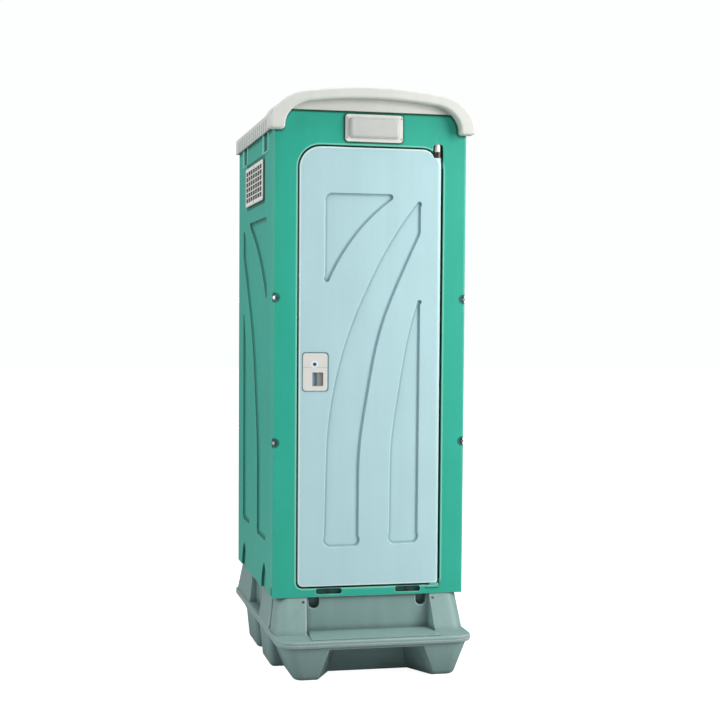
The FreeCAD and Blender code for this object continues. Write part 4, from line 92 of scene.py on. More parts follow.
# %% [markdown]
# A product picture has soft light from large panels and a white sky all round. A tall panel at the front
# right shapes the front, one overhead draws the ledges, and a large one at the left keeps the side wall
# readable. The sky looks white to the camera but lights the cabin less, so that the plastic keeps its
# colour. The Light Path node tells the two apart.
# %% Light
SKY_LIGHT = 0.36
SKY_SEEN = 1.02
PANELS = (("key_panel", (3.0, -2.7, 2.5), (0, -0.4, 1.3), (2.0, 2.6), 140, (1.0, 0.985, 0.96)),
          ("top_panel", (0, -1.0, 6.5), (0, -0.2, 1.0), (4.0, 4.0), 160, (1.0, 1.0, 1.0)),
          ("fill_panel", (-6.0, -1.2, 3.0), (0, 0, 1.3), (4.0, 4.0), 172, (0.95, 0.98, 1.0)))


def seen_strength(tree, unseen, seen, socket):
    """Gives the socket one strength for what the camera sees straight, and another for the light it sends."""
    ray = tree.nodes.new("ShaderNodeLightPath")
    strength = tree.nodes.new("ShaderNodeMapRange")
    strength.inputs["To Min"].default_value = unseen
    strength.inputs["To Max"].default_value = seen
    tree.links.new(ray.outputs["Is Camera Ray"], strength.inputs["Value"])
    tree.links.new(strength.outputs["Result"], socket)


def add_sky():
    sky = bpy.data.worlds.new("sky")
    sky.use_nodes = True
    light = sky.node_tree.nodes["Background"]
    light.inputs["Color"].default_value = (0.965, 0.985, 1.0, 1)
    seen_strength(sky.node_tree, SKY_LIGHT, SKY_SEEN, light.inputs["Strength"])
    bpy.context.scene.world = sky


def add_panel(name, stand, target, size, power, tint):
    """A rectangle of light at a place, turned to its target. Its size is a width and a height."""
    panel = bpy.data.lights.new(name, "AREA")
    panel.shape = "RECTANGLE"
    panel.size, panel.size_y = size
    panel.energy = power
    panel.color = tint
    turn = (Vector(target) - Vector(stand)).to_track_quat("-Z", "Y")
    added(name, panel).matrix_world = Matrix.Translation(stand) @ turn.to_matrix().to_4x4()


add_sky()
for panel in PANELS:
    add_panel(*panel)
bpy.context.scene.view_settings.view_transform = "Standard"
print("a sky and", len(PANELS), "panels are set")

# %% [markdown]
# The cabin stands on a plain pale floor, which is so large that its edge lies out of sight. Like the sky,
# it looks white to the camera and sends less light than it seems to, so that the tank keeps its tone.
# %% Floor
FLOOR_HALF = 40.0
FLOOR_SEEN = 0.9
FLOOR_GREY = (0.55, 0.55, 0.55, 1)


def new_paint(name):
    """A new material, with its tree and its shader."""
    paint = bpy.data.materials.new(name)
    paint.use_nodes = True
    return paint, paint.node_tree, paint.node_tree.nodes["Principled BSDF"]


def add_floor():
    mesh = bpy.data.meshes.new("floor")
    corners = [(-1, -1), (1, -1), (1, 1), (-1, 1)]
    mesh.from_pydata([(x * FLOOR_HALF, y * FLOOR_HALF, 0) for x, y in corners], [], [(0, 1, 2, 3)])
    paint, tree, shader = new_paint("studio_floor")
    shader.inputs["Base Color"].default_value = FLOOR_GREY
    shader.inputs["Roughness"].default_value = 0.85
    shader.inputs["Emission Color"].default_value = (1, 1, 1, 1)
    seen_strength(tree, 0.0, FLOOR_SEEN, shader.inputs["Emission Strength"])
    mesh.materials.append(paint)
    floor = added("floor", mesh)


add_floor()
print("the floor is", 2 * FLOOR_HALF, "m wide")

# %% [markdown]
# Every moulded surface here shares a few effects: the fine pebbled skin that the mould leaves, corners that
# are never quite sharp, a slow drift of tone where the plastic is thicker, and a film of dust low down and
# on ledges. Each effect is one node group, so that every material can use it with its own sizes. A helper
# makes a group with named sockets, and others place a node with its inputs. Patterns are laid by the point
# on the piece in its own frame, so that they stay where they are when the piece moves.
# %% Tools for node groups
FLOAT = "NodeSocketFloat"
COLOUR = "NodeSocketColor"
VECTOR = "NodeSocketVector"


def new_group(name, inputs, outputs):
    """An empty shader group with named sockets: the group, what it is given, and its output node."""
    group = bpy.data.node_groups.new(name, "ShaderNodeTree")
    for title, kind, value in inputs:
        socket = group.interface.new_socket(name=title, in_out="INPUT", socket_type=kind)
        if value is not None:
            socket.default_value = value
    for title, kind in outputs:
        group.interface.new_socket(name=title, in_out="OUTPUT", socket_type=kind)
    return group, group.nodes.new("NodeGroupInput").outputs, group.nodes.new("NodeGroupOutput")


def give(tree, node, **values):
    """Links a socket to each named input, or sets a plain value. A name such as _6 is an input's number."""
    for key, value in values.items():
        number = key[1:]
        target = node.inputs[int(number) if number.isdigit() else key.replace("_", " ")]
        if isinstance(value, bpy.types.NodeSocket):
            tree.links.new(value, target)
        else:
            target.default_value = value


def place(tree, kind, settings=None, **values):
    """A new node with its settings and inputs."""
    made = tree.nodes.new(kind)
    for key, value in (settings or {}).items():
        setattr(made, key, value)
    give(tree, made, **values)
    return made


def maths(tree, operation, *values):
    """The output of one Math node."""
    numbered = {f"_{i}": value for i, value in enumerate(values)}
    return place(tree, "ShaderNodeMath", {"operation": operation}, **numbered).outputs[0]


def spread(tree, value, low, high, new_low=0.0, new_high=1.0):
    """The value stretched from low..high to new_low..new_high and held inside it."""
    made = place(tree, "ShaderNodeMapRange", {"clamp": True}, Value=value, From_Min=low, From_Max=high,
                 To_Min=new_low, To_Max=new_high)
    return made.outputs["Result"]


def mixed(tree, share, first, second, blend="MIX"):
    """The output colour of one Mix node."""
    settings = {"data_type": "RGBA", "blend_type": blend}
    return place(tree, "ShaderNodeMix", settings, _0=share, _6=first, _7=second).outputs[2]


def piece_point(tree):
    """The point on the piece, in the piece's own frame, which is the cabin's frame at rest."""
    return tree.nodes.new("ShaderNodeTexCoord").outputs["Object"]


def piece_axes(tree):
    """The same point as three sockets, named X, Y and Z."""
    return place(tree, "ShaderNodeSeparateXYZ", Vector=piece_point(tree)).outputs


def between(tree, value, low, high, soft):
    """One where the value lies between low and high, with soft ends."""
    return maths(tree, "MINIMUM", spread(tree, value, low - soft, low + soft),
                 spread(tree, value, high + soft, high - soft))


print("tools for groups are ready")

# %% [markdown]
# The mould is sandblasted, so the plastic comes out with a fine pebble of about a millimetre and a slow
# waviness of about a hand's width where it shrank. Both are heights, so the group lays two noises over each
# other with Bump nodes, which bend the normal. It takes a normal in, because the softened corners come
# first.
# %% Moulded skin
def make_moulded_skin():
    group, given, result = new_group(
        "moulded skin",
        [("Pebble", FLOAT, 0.0012), ("Depth", FLOAT, 0.00006), ("Wave", FLOAT, 0.0004),
         ("Normal", VECTOR, None)],
        [("Normal", VECTOR)])
    at = piece_point(group)
    fineness = maths(group, "DIVIDE", 1.0, given["Pebble"])
    pebble = place(group, "ShaderNodeTexNoise", Vector=at, Scale=fineness, Detail=2.0, Roughness=0.6)
    wave = place(group, "ShaderNodeTexNoise", Vector=at, Scale=7.0, Detail=2.0, Roughness=0.4)
    fine = place(group, "ShaderNodeBump", Height=pebble.outputs["Fac"], Distance=given["Depth"],
                 Strength=1.0, Normal=given["Normal"])
    slow = place(group, "ShaderNodeBump", Height=wave.outputs["Fac"], Distance=given["Wave"],
                 Strength=1.0, Normal=fine.outputs["Normal"])
    give(group, result, Normal=slow.outputs["Normal"])
    return group


moulded_skin = make_moulded_skin()
print("group:", moulded_skin.name)

# %% [markdown]
# No moulded or pressed edge is sharp. The Bevel node looks at the surface a few millimetres around a point
# and gives the mean normal, which rounds the edge in the shading. Where that mean differs from the true
# normal there is an edge, so the same group also gives a mask that wear and a painted highlight on open
# edges can use.
# %% Soft corners
def make_soft_corners():
    group, given, result = new_group(
        "soft corners", [("Radius", FLOAT, 0.003)], [("Normal", VECTOR), ("Edge", FLOAT)])
    mean = place(group, "ShaderNodeBevel", {"samples": 4}, Radius=given["Radius"])
    true = group.nodes.new("ShaderNodeNewGeometry")
    match = place(group, "ShaderNodeVectorMath", {"operation": "DOT_PRODUCT"}, _0=mean.outputs["Normal"],
                  _1=true.outputs["Normal"])
    edge = spread(group, match.outputs["Value"], 0.995, 0.90)
    give(group, result, Normal=mean.outputs["Normal"], Edge=edge)
    return group


soft_corners = make_soft_corners()
print("group:", soft_corners.name)

# %% [markdown]
# A large moulding is never one even tone. The wall is thicker in some places and the pigment streams as the
# plastic melts, so the group drifts the colour a little lighter and a little darker over a few hands'
# widths, with faint upright streaks. The amount is small, because the cabin in the photograph is clean.
# %% Tone drift
def make_tone_drift():
    group, given, result = new_group(
        "tone drift",
        [("Colour", COLOUR, (0.5, 0.5, 0.5, 1)), ("Amount", FLOAT, 0.06), ("Patch", FLOAT, 0.25)],
        [("Colour", COLOUR), ("Tone", FLOAT)])
    at = piece_point(group)
    size = maths(group, "DIVIDE", 1.0, given["Patch"])
    patches = place(group, "ShaderNodeTexNoise", Vector=at, Scale=size, Detail=4.0, Roughness=0.55)
    tall = place(group, "ShaderNodeMapping", Vector=at, Scale=(9.0, 9.0, 0.5))
    streaks = place(group, "ShaderNodeTexNoise", Vector=tall.outputs["Vector"], Scale=2.0, Detail=3.0,
                    Roughness=0.6)
    both = maths(group, "ADD", patches.outputs["Fac"], streaks.outputs["Fac"])
    tone = spread(group, both, 0.7, 1.3, -1.0, 1.0)
    change = maths(group, "MULTIPLY_ADD", tone, given["Amount"], 1.0)
    toned = place(group, "ShaderNodeHueSaturation", Color=given["Colour"], Value=change)
    give(group, result, Colour=toned.outputs["Color"], Tone=tone)
    return group


tone_drift = make_tone_drift()
print("group:", tone_drift.name)

# %% [markdown]
# Dust settles where a surface faces up, and splashes dry on it near the ground. The group works out how far
# the surface faces up from its normal in the piece's own frame, so that a door or lid keeps its dust as it
# turns, adds a band that fades out above the ground, and breaks both up with noise.
# %% Dust
def make_dust():
    group, given, result = new_group(
        "dust",
        [("Colour", COLOUR, (0.5, 0.5, 0.5, 1)), ("Film", COLOUR, (0.46, 0.44, 0.38, 1)),
         ("Ledges", FLOAT, 0.12), ("Splash", FLOAT, 0.12), ("Splash Top", FLOAT, 0.35)],
        [("Colour", COLOUR), ("Mask", FLOAT)])
    at = piece_point(group)
    facing = place(group, "ShaderNodeVectorTransform",
                   {"vector_type": "NORMAL", "convert_from": "WORLD", "convert_to": "OBJECT"},
                   Vector=group.nodes.new("ShaderNodeNewGeometry").outputs["Normal"])
    up = place(group, "ShaderNodeSeparateXYZ", Vector=facing.outputs["Vector"])
    ledge = spread(group, up.outputs["Z"], 0.55, 0.98)
    splash = spread(group, piece_axes(group)["Z"], given["Splash Top"], 0.0)
    speck = place(group, "ShaderNodeTexNoise", Vector=at, Scale=38.0, Detail=6.0, Roughness=0.65)
    broken = spread(group, speck.outputs["Fac"], 0.42, 0.68)
    on_ledge = maths(group, "MULTIPLY", ledge, given["Ledges"])
    on_foot = maths(group, "MULTIPLY", splash, given["Splash"])
    film = maths(group, "MULTIPLY", maths(group, "ADD", on_ledge, on_foot), broken)
    dusty = mixed(group, film, given["Colour"], given["Film"])
    give(group, result, Colour=dusty, Mask=film)
    return group


dust = make_dust()
print("group:", dust.name)

# %% [markdown]
# Shoes, cleaning pads and shipping straps leave hair-fine scratches. They are long thin streaks of a
# stretched noise that only the finest peaks of pass. The group gives a mask, which a material uses to
# change its roughness.
# %% Scuffs
def make_scuffs():
    group, given, result = new_group(
        "scuffs", [("Fineness", FLOAT, 60.0), ("Share", FLOAT, 0.3)], [("Mask", FLOAT)])
    at = piece_point(group)
    masks = []
    for turn in ((0.3, 0.9, 0.4), (1.2, 0.2, 2.1)):
        laid = place(group, "ShaderNodeMapping", Vector=at, Rotation=turn, Scale=(1.0, 14.0, 14.0))
        streak = place(group, "ShaderNodeTexNoise", Vector=laid.outputs["Vector"], Scale=given["Fineness"],
                       Detail=1.0, Roughness=0.5)
        masks.append(spread(group, streak.outputs["Fac"], 0.66, 0.74))
    both = maths(group, "MAXIMUM", *masks)
    patch = place(group, "ShaderNodeTexNoise", Vector=at, Scale=5.0, Detail=2.0)
    where = spread(group, patch.outputs["Fac"], 0.45, 0.6)
    worn = maths(group, "MULTIPLY", maths(group, "MULTIPLY", both, where), given["Share"])
    give(group, result, Mask=worn)
    return group


scuffs = make_scuffs()
print("group:", scuffs.name)

# %% [markdown]
# In a soft light the foot of every step and the depth of every slot is darker, and the light that does
# reach it has taken on the colour of the plastic. The group measures how open a point is to what lies
# within a short reach of it, and deepens the colour where it is closed in.
# %% Recess shade
RECESS_TINT = (0.3, 0.36, 0.38, 1)


def make_recess_shade():
    group, given, result = new_group(
        "recess shade",
        [("Colour", COLOUR, (0.5, 0.5, 0.5, 1)), ("Reach", FLOAT, 0.012), ("Depth", FLOAT, 0.5),
         ("Full At", FLOAT, 0.5)],
        [("Colour", COLOUR), ("Mask", FLOAT)])
    openness = place(group, "ShaderNodeAmbientOcclusion", {"samples": 8}, Distance=given["Reach"])
    closed = spread(group, openness.outputs["AO"], 0.985, given["Full At"])
    share = maths(group, "MULTIPLY", closed, given["Depth"])
    colour = given["Colour"]
    tinted = mixed(group, 1.0, colour, colour, "MULTIPLY")
    dimmed = mixed(group, 1.0, colour, RECESS_TINT, "MULTIPLY")
    deep = mixed(group, 0.5, tinted, dimmed)
    shaded = mixed(group, share, colour, deep)
    give(group, result, Colour=shaded, Mask=closed)
    return group


recess_shade = make_recess_shade()
print("group:", recess_shade.name)

# %% [markdown]
# One recipe makes all the moulded plastics. It chains the groups: the corners are softened, the skin is
# laid over them, the colour drifts, takes a painted shade in the recesses and gathers dust, and open edges
# get a painted highlight, a touch lighter. What is the same all over is set on the shader itself. Colours
# are written in hex digits, as a screen shows them, and the recipe turns them into linear light.
# %% Moulded plastic
EDGE_HIGHLIGHT_PALE = 0.55
SCUFF_FINENESS = 55.0
SCUFF_ROUGH = 0.35
DUST_ROUGH = 0.4
TONE_ROUGH = 0.03


def use(tree, group, **values):
    """Places a group in a material."""
    return place(tree, "ShaderNodeGroup", {"node_tree": group}, **values)


def lighter(colour, share):
    """The colour moved towards white by a share."""
    return tuple(c + (1 - c) * share for c in colour[:3]) + (1,)


def hexed(text):
    """A colour written as six hex digits, as linear light."""
    parts = [int(text[i:i + 2], 16) / 255 for i in (0, 2, 4)]
    return tuple(c / 12.92 if c <= 0.04045 else ((c + 0.055) / 1.055) ** 2.4 for c in parts) + (1,)


def moulded(name, colour, rough=0.45, pebble=0.0012, depth=0.00006, wave=0.0005, corner=0.003, drift=0.05,
            ledges=0.1, splash=0.0, splash_top=0.35, edge=0.12, wear=0.3, reach=0.012, shade=0.5, full_at=0.5,
            film="8C887A"):
    """A moulded plastic. Its sizes are in metres, and its amounts run from nothing at 0 to full at 1."""
    paint, tree, shader = new_paint(name)
    base = hexed(colour)
    corners = use(tree, soft_corners, Radius=corner)
    skin = use(tree, moulded_skin, Pebble=pebble, Depth=depth, Wave=wave, Normal=corners.outputs["Normal"])
    toned = use(tree, tone_drift, Colour=base, Amount=drift)
    shaded = use(tree, recess_shade, Colour=toned.outputs["Colour"], Reach=reach, Depth=shade,
                 Full_At=full_at)
    # Open edges outside the recesses get a painted highlight: the colour moves towards white by the edge
    # amount.
    open_part = maths(tree, "SUBTRACT", 1.0, shaded.outputs["Mask"])
    open_edge = maths(tree, "MULTIPLY", corners.outputs["Edge"], open_part)
    highlight_share = maths(tree, "MULTIPLY", open_edge, edge)
    highlighted = mixed(tree, highlight_share, shaded.outputs["Colour"], lighter(base, EDGE_HIGHLIGHT_PALE))
    dusty = use(tree, dust, Colour=highlighted, Film=hexed(film), Ledges=ledges, Splash=splash,
                Splash_Top=splash_top)
    marks = use(tree, scuffs, Fineness=SCUFF_FINENESS, Share=wear)
    worn = maths(tree, "MULTIPLY_ADD", marks.outputs["Mask"], SCUFF_ROUGH, rough)
    matt = maths(tree, "MULTIPLY_ADD", dusty.outputs["Mask"], DUST_ROUGH, worn)
    uneven = maths(tree, "MULTIPLY_ADD", toned.outputs["Tone"], TONE_ROUGH, matt)
    give(tree, shader, Base_Color=dusty.outputs["Colour"], Roughness=uneven, Normal=skin.outputs["Normal"],
         IOR=1.5)
    return paint


print("the recipe for moulded plastic is ready")

# %% [markdown]
# The large mouldings are the front frame and walls in green, the door in pale blue, the tank in grey green
# and the roof in a warm grey. A deep mould gives a coarser skin, slower waves and rounder corners than a
# flat one, so each of them has its own sizes. The amounts say how much painted highlight its open edges
# get, how much painted shade its recesses get and how much dust its ledges hold.
# %% Large mouldings
def dress(paint, *names):
    """Gives nodes of the frame a finish."""
    for name in names:
        piece = nodes[name]
        if not piece.material_slots:
            piece.data.materials.append(paint)
        for slot in piece.material_slots:
            slot.material = paint


green_front = moulded("green_front", "24AB93", rough=0.42, wave=0.0009, drift=0.04, ledges=0.05, edge=0.8,
                      corner=0.005, reach=0.014, shade=1.0, full_at=0.8)
# The walls' green is a slightly paler copy of the front's green, a painted light that makes up for the weaker
# light on them.
green_side = moulded("green_side", "2FAA96", rough=0.48, wave=0.0012, drift=0.05, ledges=0.0, edge=0.6,
                     corner=0.005, reach=0.022, shade=1.0, full_at=0.86, film="3E8F82")
pale_blue = moulded("pale_blue_door", "B2D5DB", rough=0.38, wave=0.0009, drift=0.03, ledges=0.04, edge=1.0,
                    corner=0.0055, reach=0.014, shade=0.85, full_at=0.82)
# The tank's dust film is darker than the tank, so its splash near the ground is dirt and partly painted
# shade.
tank_grey = moulded("tank_grey_green", "829F9C", rough=0.5, pebble=0.0016, depth=0.0001, wave=0.0014,
                    corner=0.009, drift=0.07, ledges=0.18, splash=0.2, splash_top=0.2, edge=0.85, wear=0.7,
                    reach=0.03, shade=0.7, film="647F80")
roof_grey = moulded("roof_grey", "D6D8D2", rough=0.5, pebble=0.002, depth=0.0001, wave=0.0012, drift=0.035,
                    ledges=0.1, reach=0.03, shade=0.5, full_at=0.6)
dress(green_front, "front_frame", "bottom_pivot_boss")
dress(green_side, "left_side_wall", "right_side_wall", "back_wall")
dress(pale_blue, "door_outer_skin", "door_inner_liner")
dress(tank_grey, "waste_tank_lower", "waste_tank_upper")
dress(roof_grey, "roof")
print("large mouldings are finished")

# %% [markdown]
# Some painted light and shade follows the form of a moulding. The rolled edges of the door and of its
# opening get a painted highlight, the pockets under the door and for the roof's clips get a painted shade
# that deepens as they go in, and the tank gets a painted shade towards the ground. They could be painted
# into a texture, but a mask that is worked out from the point on the piece has no seams and keeps to the
# imported sizes. Each mask lays a colour over the base colour that the recipe made.
# %% Painted light and shade that follow the form
FRONT_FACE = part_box("front_frame")[0].y
WALL_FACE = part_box("right_side_wall")[1].x
HIGHLIGHT_BAND_SOFT = 0.0012
OPENING_HIGHLIGHT = (0.009, 0.0155)
DOOR_HIGHLIGHT = (-0.0065, 0.001)
LEAF_CORNERS = (0.025, 0.098)
FOOT_POCKETS = (0.35, 0.387)
POCKET_LIP = 0.006
CLIP_SLOT_FOOT = (2.36, 2.37)
TANK_SHADE = (0.2, 0.03)
TANK_SHADE_SHARE = 0.75


def over(paint, mask_of, colour):
    """Lays a colour over the base colour of a finished material, where the mask is one."""
    tree = paint.node_tree
    base = tree.nodes["Principled BSDF"].inputs["Base Color"]
    below = base.links[0].from_socket
    tree.links.new(mixed(tree, mask_of(tree), below, hexed(colour)), base)


def outline_band(low, high, corners, inner, outer):
    """A band along an upright outline, from inner to outer, both measured outwards from it.

    The outline has round corners, of the first radius below its middle and of the second above it."""
    def mask(tree):
        middle = [(a + b) / 2 for a, b in zip(low, high)]
        half = [(b - a) / 2 for a, b in zip(low, high)]
        at = piece_axes(tree)
        across = maths(tree, "ABSOLUTE", maths(tree, "SUBTRACT", at["X"], middle[0]))
        above = maths(tree, "SUBTRACT", at["Z"], middle[1])
        corner = spread(tree, above, -0.01, 0.01, *corners)
        past_x = maths(tree, "ADD", maths(tree, "SUBTRACT", across, half[0]), corner)
        past_z = maths(tree, "ADD", maths(tree, "SUBTRACT", maths(tree, "ABSOLUTE", above), half[1]), corner)
        flat = place(tree, "ShaderNodeCombineXYZ", X=maths(tree, "MAXIMUM", past_x, 0.0),
                     Y=maths(tree, "MAXIMUM", past_z, 0.0))
        round_part = place(tree, "ShaderNodeVectorMath", {"operation": "LENGTH"}, _0=flat.outputs["Vector"])
        straight = maths(tree, "MINIMUM", maths(tree, "MAXIMUM", past_x, past_z), 0.0)
        apart = maths(tree, "SUBTRACT", maths(tree, "ADD", round_part.outputs["Value"], straight), corner)
        return between(tree, apart, inner, outer, HIGHLIGHT_BAND_SOFT)
    return mask


def foot_pocket_shade(tree):
    """The painted shade in the two pockets under the door, which deepens behind their lip."""
    at = piece_axes(tree)
    inside = between(tree, at["Z"], *FOOT_POCKETS, 0.002)
    level = FRONT_FACE + POCKET_LIP
    return maths(tree, "MINIMUM", inside, spread(tree, at["Y"], level, level + 0.002))


def clip_slot_shade(tree):
    """The painted shade in the pockets for the roof's clips, high on the side walls, which deepens as they go
    in.
    """
    at = piece_axes(tree)
    deep = spread(tree, maths(tree, "ABSOLUTE", at["X"]), WALL_FACE - 0.003, WALL_FACE - 0.006)
    return maths(tree, "MULTIPLY", deep, spread(tree, at["Z"], *CLIP_SLOT_FOOT))


def ground_shade(tree):
    """A painted shade on the lower part of the tank, a little darker the nearer it comes to the ground."""
    return maths(tree, "MULTIPLY", spread(tree, piece_axes(tree)["Z"], *TANK_SHADE), TANK_SHADE_SHARE)


leaf_low, leaf_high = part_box("door_outer_skin")
leaf_outline = ((leaf_low.x, leaf_low.z), (leaf_high.x, leaf_high.z), LEAF_CORNERS)
# A painted shade on the tank, darker towards the ground.
over(tank_grey, ground_shade, "66817F")
# A painted highlight along the rolled edge of the door's opening.
over(green_front, outline_band(*leaf_outline, *OPENING_HIGHLIGHT), "6FCBB5")
# Painted shade in the pockets under the door and in those for the roof's clips, deeper as they go in.
over(green_front, foot_pocket_shade, "0C5E52")
over(green_side, clip_slot_shade, "12685B")
# A painted highlight along the door's rolled edge.
over(pale_blue, outline_band(*leaf_outline, *DOOR_HIGHLIGHT), "DDF0F2")
print("edges and pockets have their tones")

# %% [markdown]
# At the corners, bolts sit in round notches of the walls, and each notch gets a painted shade, darker the
# nearer it comes to its bolt. The imported model holds all the washers in one node, so a helper finds the
# loose solids of a node. The mask is the distance to the nearest washer on one side, with X folded over,
# because the two sides mirror each other.
# %% Painted shade in the notches of the corner bolts
BOLT_SHADE_REACH = 0.026


def loose_boxes(name):
    """The lowest and highest corner of each loose solid in a node."""
    shell = bmesh.new()
    shell.from_mesh(nodes[name].data)
    bmesh.ops.remove_doubles(shell, verts=shell.verts, dist=1e-6)
    left = set(shell.verts)
    boxes = []
    while left:
        to_visit = [left.pop()]
        found = set(to_visit)
        while to_visit:
            corner = to_visit.pop()
            near = {edge.other_vert(corner) for edge in corner.link_edges} - found
            found |= near
            to_visit += near
        left -= found
        low = Vector([min(v.co[i] for v in found) for i in range(3)])
        high = Vector([max(v.co[i] for v in found) for i in range(3)])
        boxes.append((low, high))
    shell.free()
    return sorted(boxes, key=lambda pair: tuple(pair[0]))


def bolt_notch_shade(tree):
    """The painted shade in the notches: how near a point is to the nearest corner bolt."""
    at = piece_axes(tree)
    folded = place(tree, "ShaderNodeCombineXYZ", X=maths(tree, "ABSOLUTE", at["X"]), Y=at["Y"], Z=at["Z"])
    near = []
    for low, high in washers:
        gap = place(tree, "ShaderNodeVectorMath", {"operation": "DISTANCE"}, _0=folded.outputs["Vector"],
                    _1=tuple((low + high) / 2))
        near.append(gap.outputs["Value"])
    while len(near) > 1:
        near = [maths(tree, "MINIMUM", *near[:2])] + near[2:]
    return spread(tree, near[0], BOLT_SHADE_REACH, BOLT_SHADE_REACH - 0.005)


washers = [pair for pair in loose_boxes("corner_washers") if pair[0].x > 0]
# Painted shade in the notches round the corner bolts.
for paint in (green_front, green_side):
    over(paint, bolt_notch_shade, "0E6457")
print(len(washers), "notches on each side")

# %% [markdown]
# The fittings are smaller mouldings: white for the lamp, vents, seat and cistern, grey for the bowl, floor
# and holders, and nearly black for pipes and the pump. A small mould is polished more finely than a large
# one, so the same recipe makes them with a finer pebble and with corners of two millimetres or less.
# %% Small mouldings
white_gloss = moulded("white_fitting", "E9E8E3", rough=0.28, pebble=0.0007, depth=0.00002, wave=0.0001,
                      corner=0.0012, drift=0.02, ledges=0.06, edge=0.2, wear=0.4)
vent_white = moulded("vent_white", "F0EFE9", rough=0.4, pebble=0.0007, depth=0.00003, wave=0.0001,
                     corner=0.001, drift=0.03, ledges=0.22, edge=0.1, reach=0.01, shade=0.9)
mid_grey = moulded("grey_fitting", "8D9396", rough=0.45, pebble=0.001, depth=0.00005, wave=0.0002,
                   corner=0.002, drift=0.05, ledges=0.1, edge=0.15)
floor_grey = moulded("floor_grey", "7D8689", rough=0.6, pebble=0.0015, depth=0.0001, wave=0.0004,
                     corner=0.002, drift=0.08, ledges=0.22, edge=0.2, wear=0.9)
near_black = moulded("pipe_dark", "3A3D3F", rough=0.42, pebble=0.0009, depth=0.00004, wave=0.0002,
                     corner=0.0015, drift=0.06, ledges=0.12, edge=0.1)
brown_nylon = moulded("brown_nylon", "3F2D24", rough=0.35, pebble=0.0006, depth=0.00002, wave=0.00005,
                      corner=0.0008, drift=0.06, ledges=0.1, edge=0.15)
flag_blue = moulded("flag_blue", "86BFEA", rough=0.3, pebble=0.0006, depth=0.00001, wave=0.00003,
                    corner=0.0004, drift=0.02, ledges=0.0, edge=0.1)
dress(white_gloss, "lock_case", "lamp_base", "top_pivot_pin", "door_pull", "toilet_seat", "toilet_lid",
      "cistern_body", "cistern_lid", "flush_pipe", "grab_rail")
dress(vent_white, "left_vent_grille", "right_vent_grille")
dress(mid_grey, "lock_bolt", "lock_knob", "toilet_bowl", "bowl_flap", "paper_holder", "paper_spindle",
      "paper_cover", "coat_hook")
dress(floor_grey, "floor_tray")
dress(near_black, "vent_pipe", "vent_cowl", "pipe_clips", "drop_chute", "pump_cylinder", "pump_cap",
      "foot_pad", "suction_cap")
dress(brown_nylon, "top_pivot_collar")
dress(flag_blue, "indicator_flag")
print("small mouldings are finished")

# %% [markdown]
# The lock plate has a small printed mark above its window, a painted shade over the window and its
# surround, and a finger dish that is darker than the plate. All are laid on by where the point lies on
# the piece: the mark by its distance from a centre, the dish by its depth. The flag behind the slit is
# blue where it shows with the slide open, and red in the half that comes into the slit as it shuts.
# %% Lock plate
MARK = (-0.256, 1.395)
MARK_RADIUS = 0.0085
HALO_RADIUS = 0.016
DISH_FACE = -0.5245
FLAG_SPLIT = -0.244
WINDOW_ACROSS = (-0.2665, -0.2165)
WINDOW_HEIGHTS = (1.2965, 1.3585)
PRINT_SOFT = 0.0006


def spot(radius, soft):
    """A round spot about the mark's middle, on the face that looks along Y."""
    def mask(tree):
        at = piece_axes(tree)
        flat = place(tree, "ShaderNodeCombineXYZ", X=at["X"], Y=at["Z"])
        apart = place(tree, "ShaderNodeVectorMath", {"operation": "DISTANCE"}, _0=flat.outputs["Vector"],
                      _1=(*MARK, 0))
        return spread(tree, apart.outputs["Value"], radius + soft, radius - soft)
    return mask


def finger_dish(tree):
    """What lies behind the face of the plate."""
    return spread(tree, piece_axes(tree)["Y"], DISH_FACE, DISH_FACE + 0.002)


def window_shade(tree):
    """A painted shade over the upright rectangle round the window."""
    at = piece_axes(tree)
    across = between(tree, at["X"], *WINDOW_ACROSS, PRINT_SOFT)
    return maths(tree, "MINIMUM", across, between(tree, at["Z"], *WINDOW_HEIGHTS, PRINT_SOFT))


def taken_half(tree):
    """The half of the flag that moves behind the slit when the slide is shut, which is red."""
    return spread(tree, piece_axes(tree)["X"], FLAG_SPLIT - 0.0003, FLAG_SPLIT + 0.0003)


lock_white = moulded("lock_plate", "DDDCD8", rough=0.34, pebble=0.0007, depth=0.00003, wave=0.0001,
                     corner=0.0012, drift=0.03, ledges=0.06, edge=0.25, wear=0.8, reach=0.006, shade=0.8)
over(lock_white, finger_dish, "A9AAA3")
over(lock_white, spot(HALO_RADIUS, 0.001), "EDEFEC")
over(lock_white, spot(MARK_RADIUS, PRINT_SOFT), "1F5C93")
# A painted shade over the window and its surround.
over(lock_white, window_shade, "8E918B")
dress(lock_white, "lock_escutcheon")
over(flag_blue, taken_half, "B4392F")
print("lock plate is finished")

# %% [markdown]
# Behind the white face of a vent grille there is little light, so its louvres and the inner sides of its
# bars lose their white as they go back. The small openings would need many samples to come out so dark by
# light alone, and a mask gives it at once. It is the distance from the middle of the cabin, which is the
# same on both sides.
# %% Depth of the vents
VENT_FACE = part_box("right_vent_grille")[1].x


def vent_depth(tree):
    """How far a point lies behind the face of the grille."""
    from_middle = maths(tree, "ABSOLUTE", piece_axes(tree)["X"])
    return spread(tree, from_middle, VENT_FACE - 0.0015, VENT_FACE - 0.007)


over(vent_white, vent_depth, "57605A")
print("vents are finished")

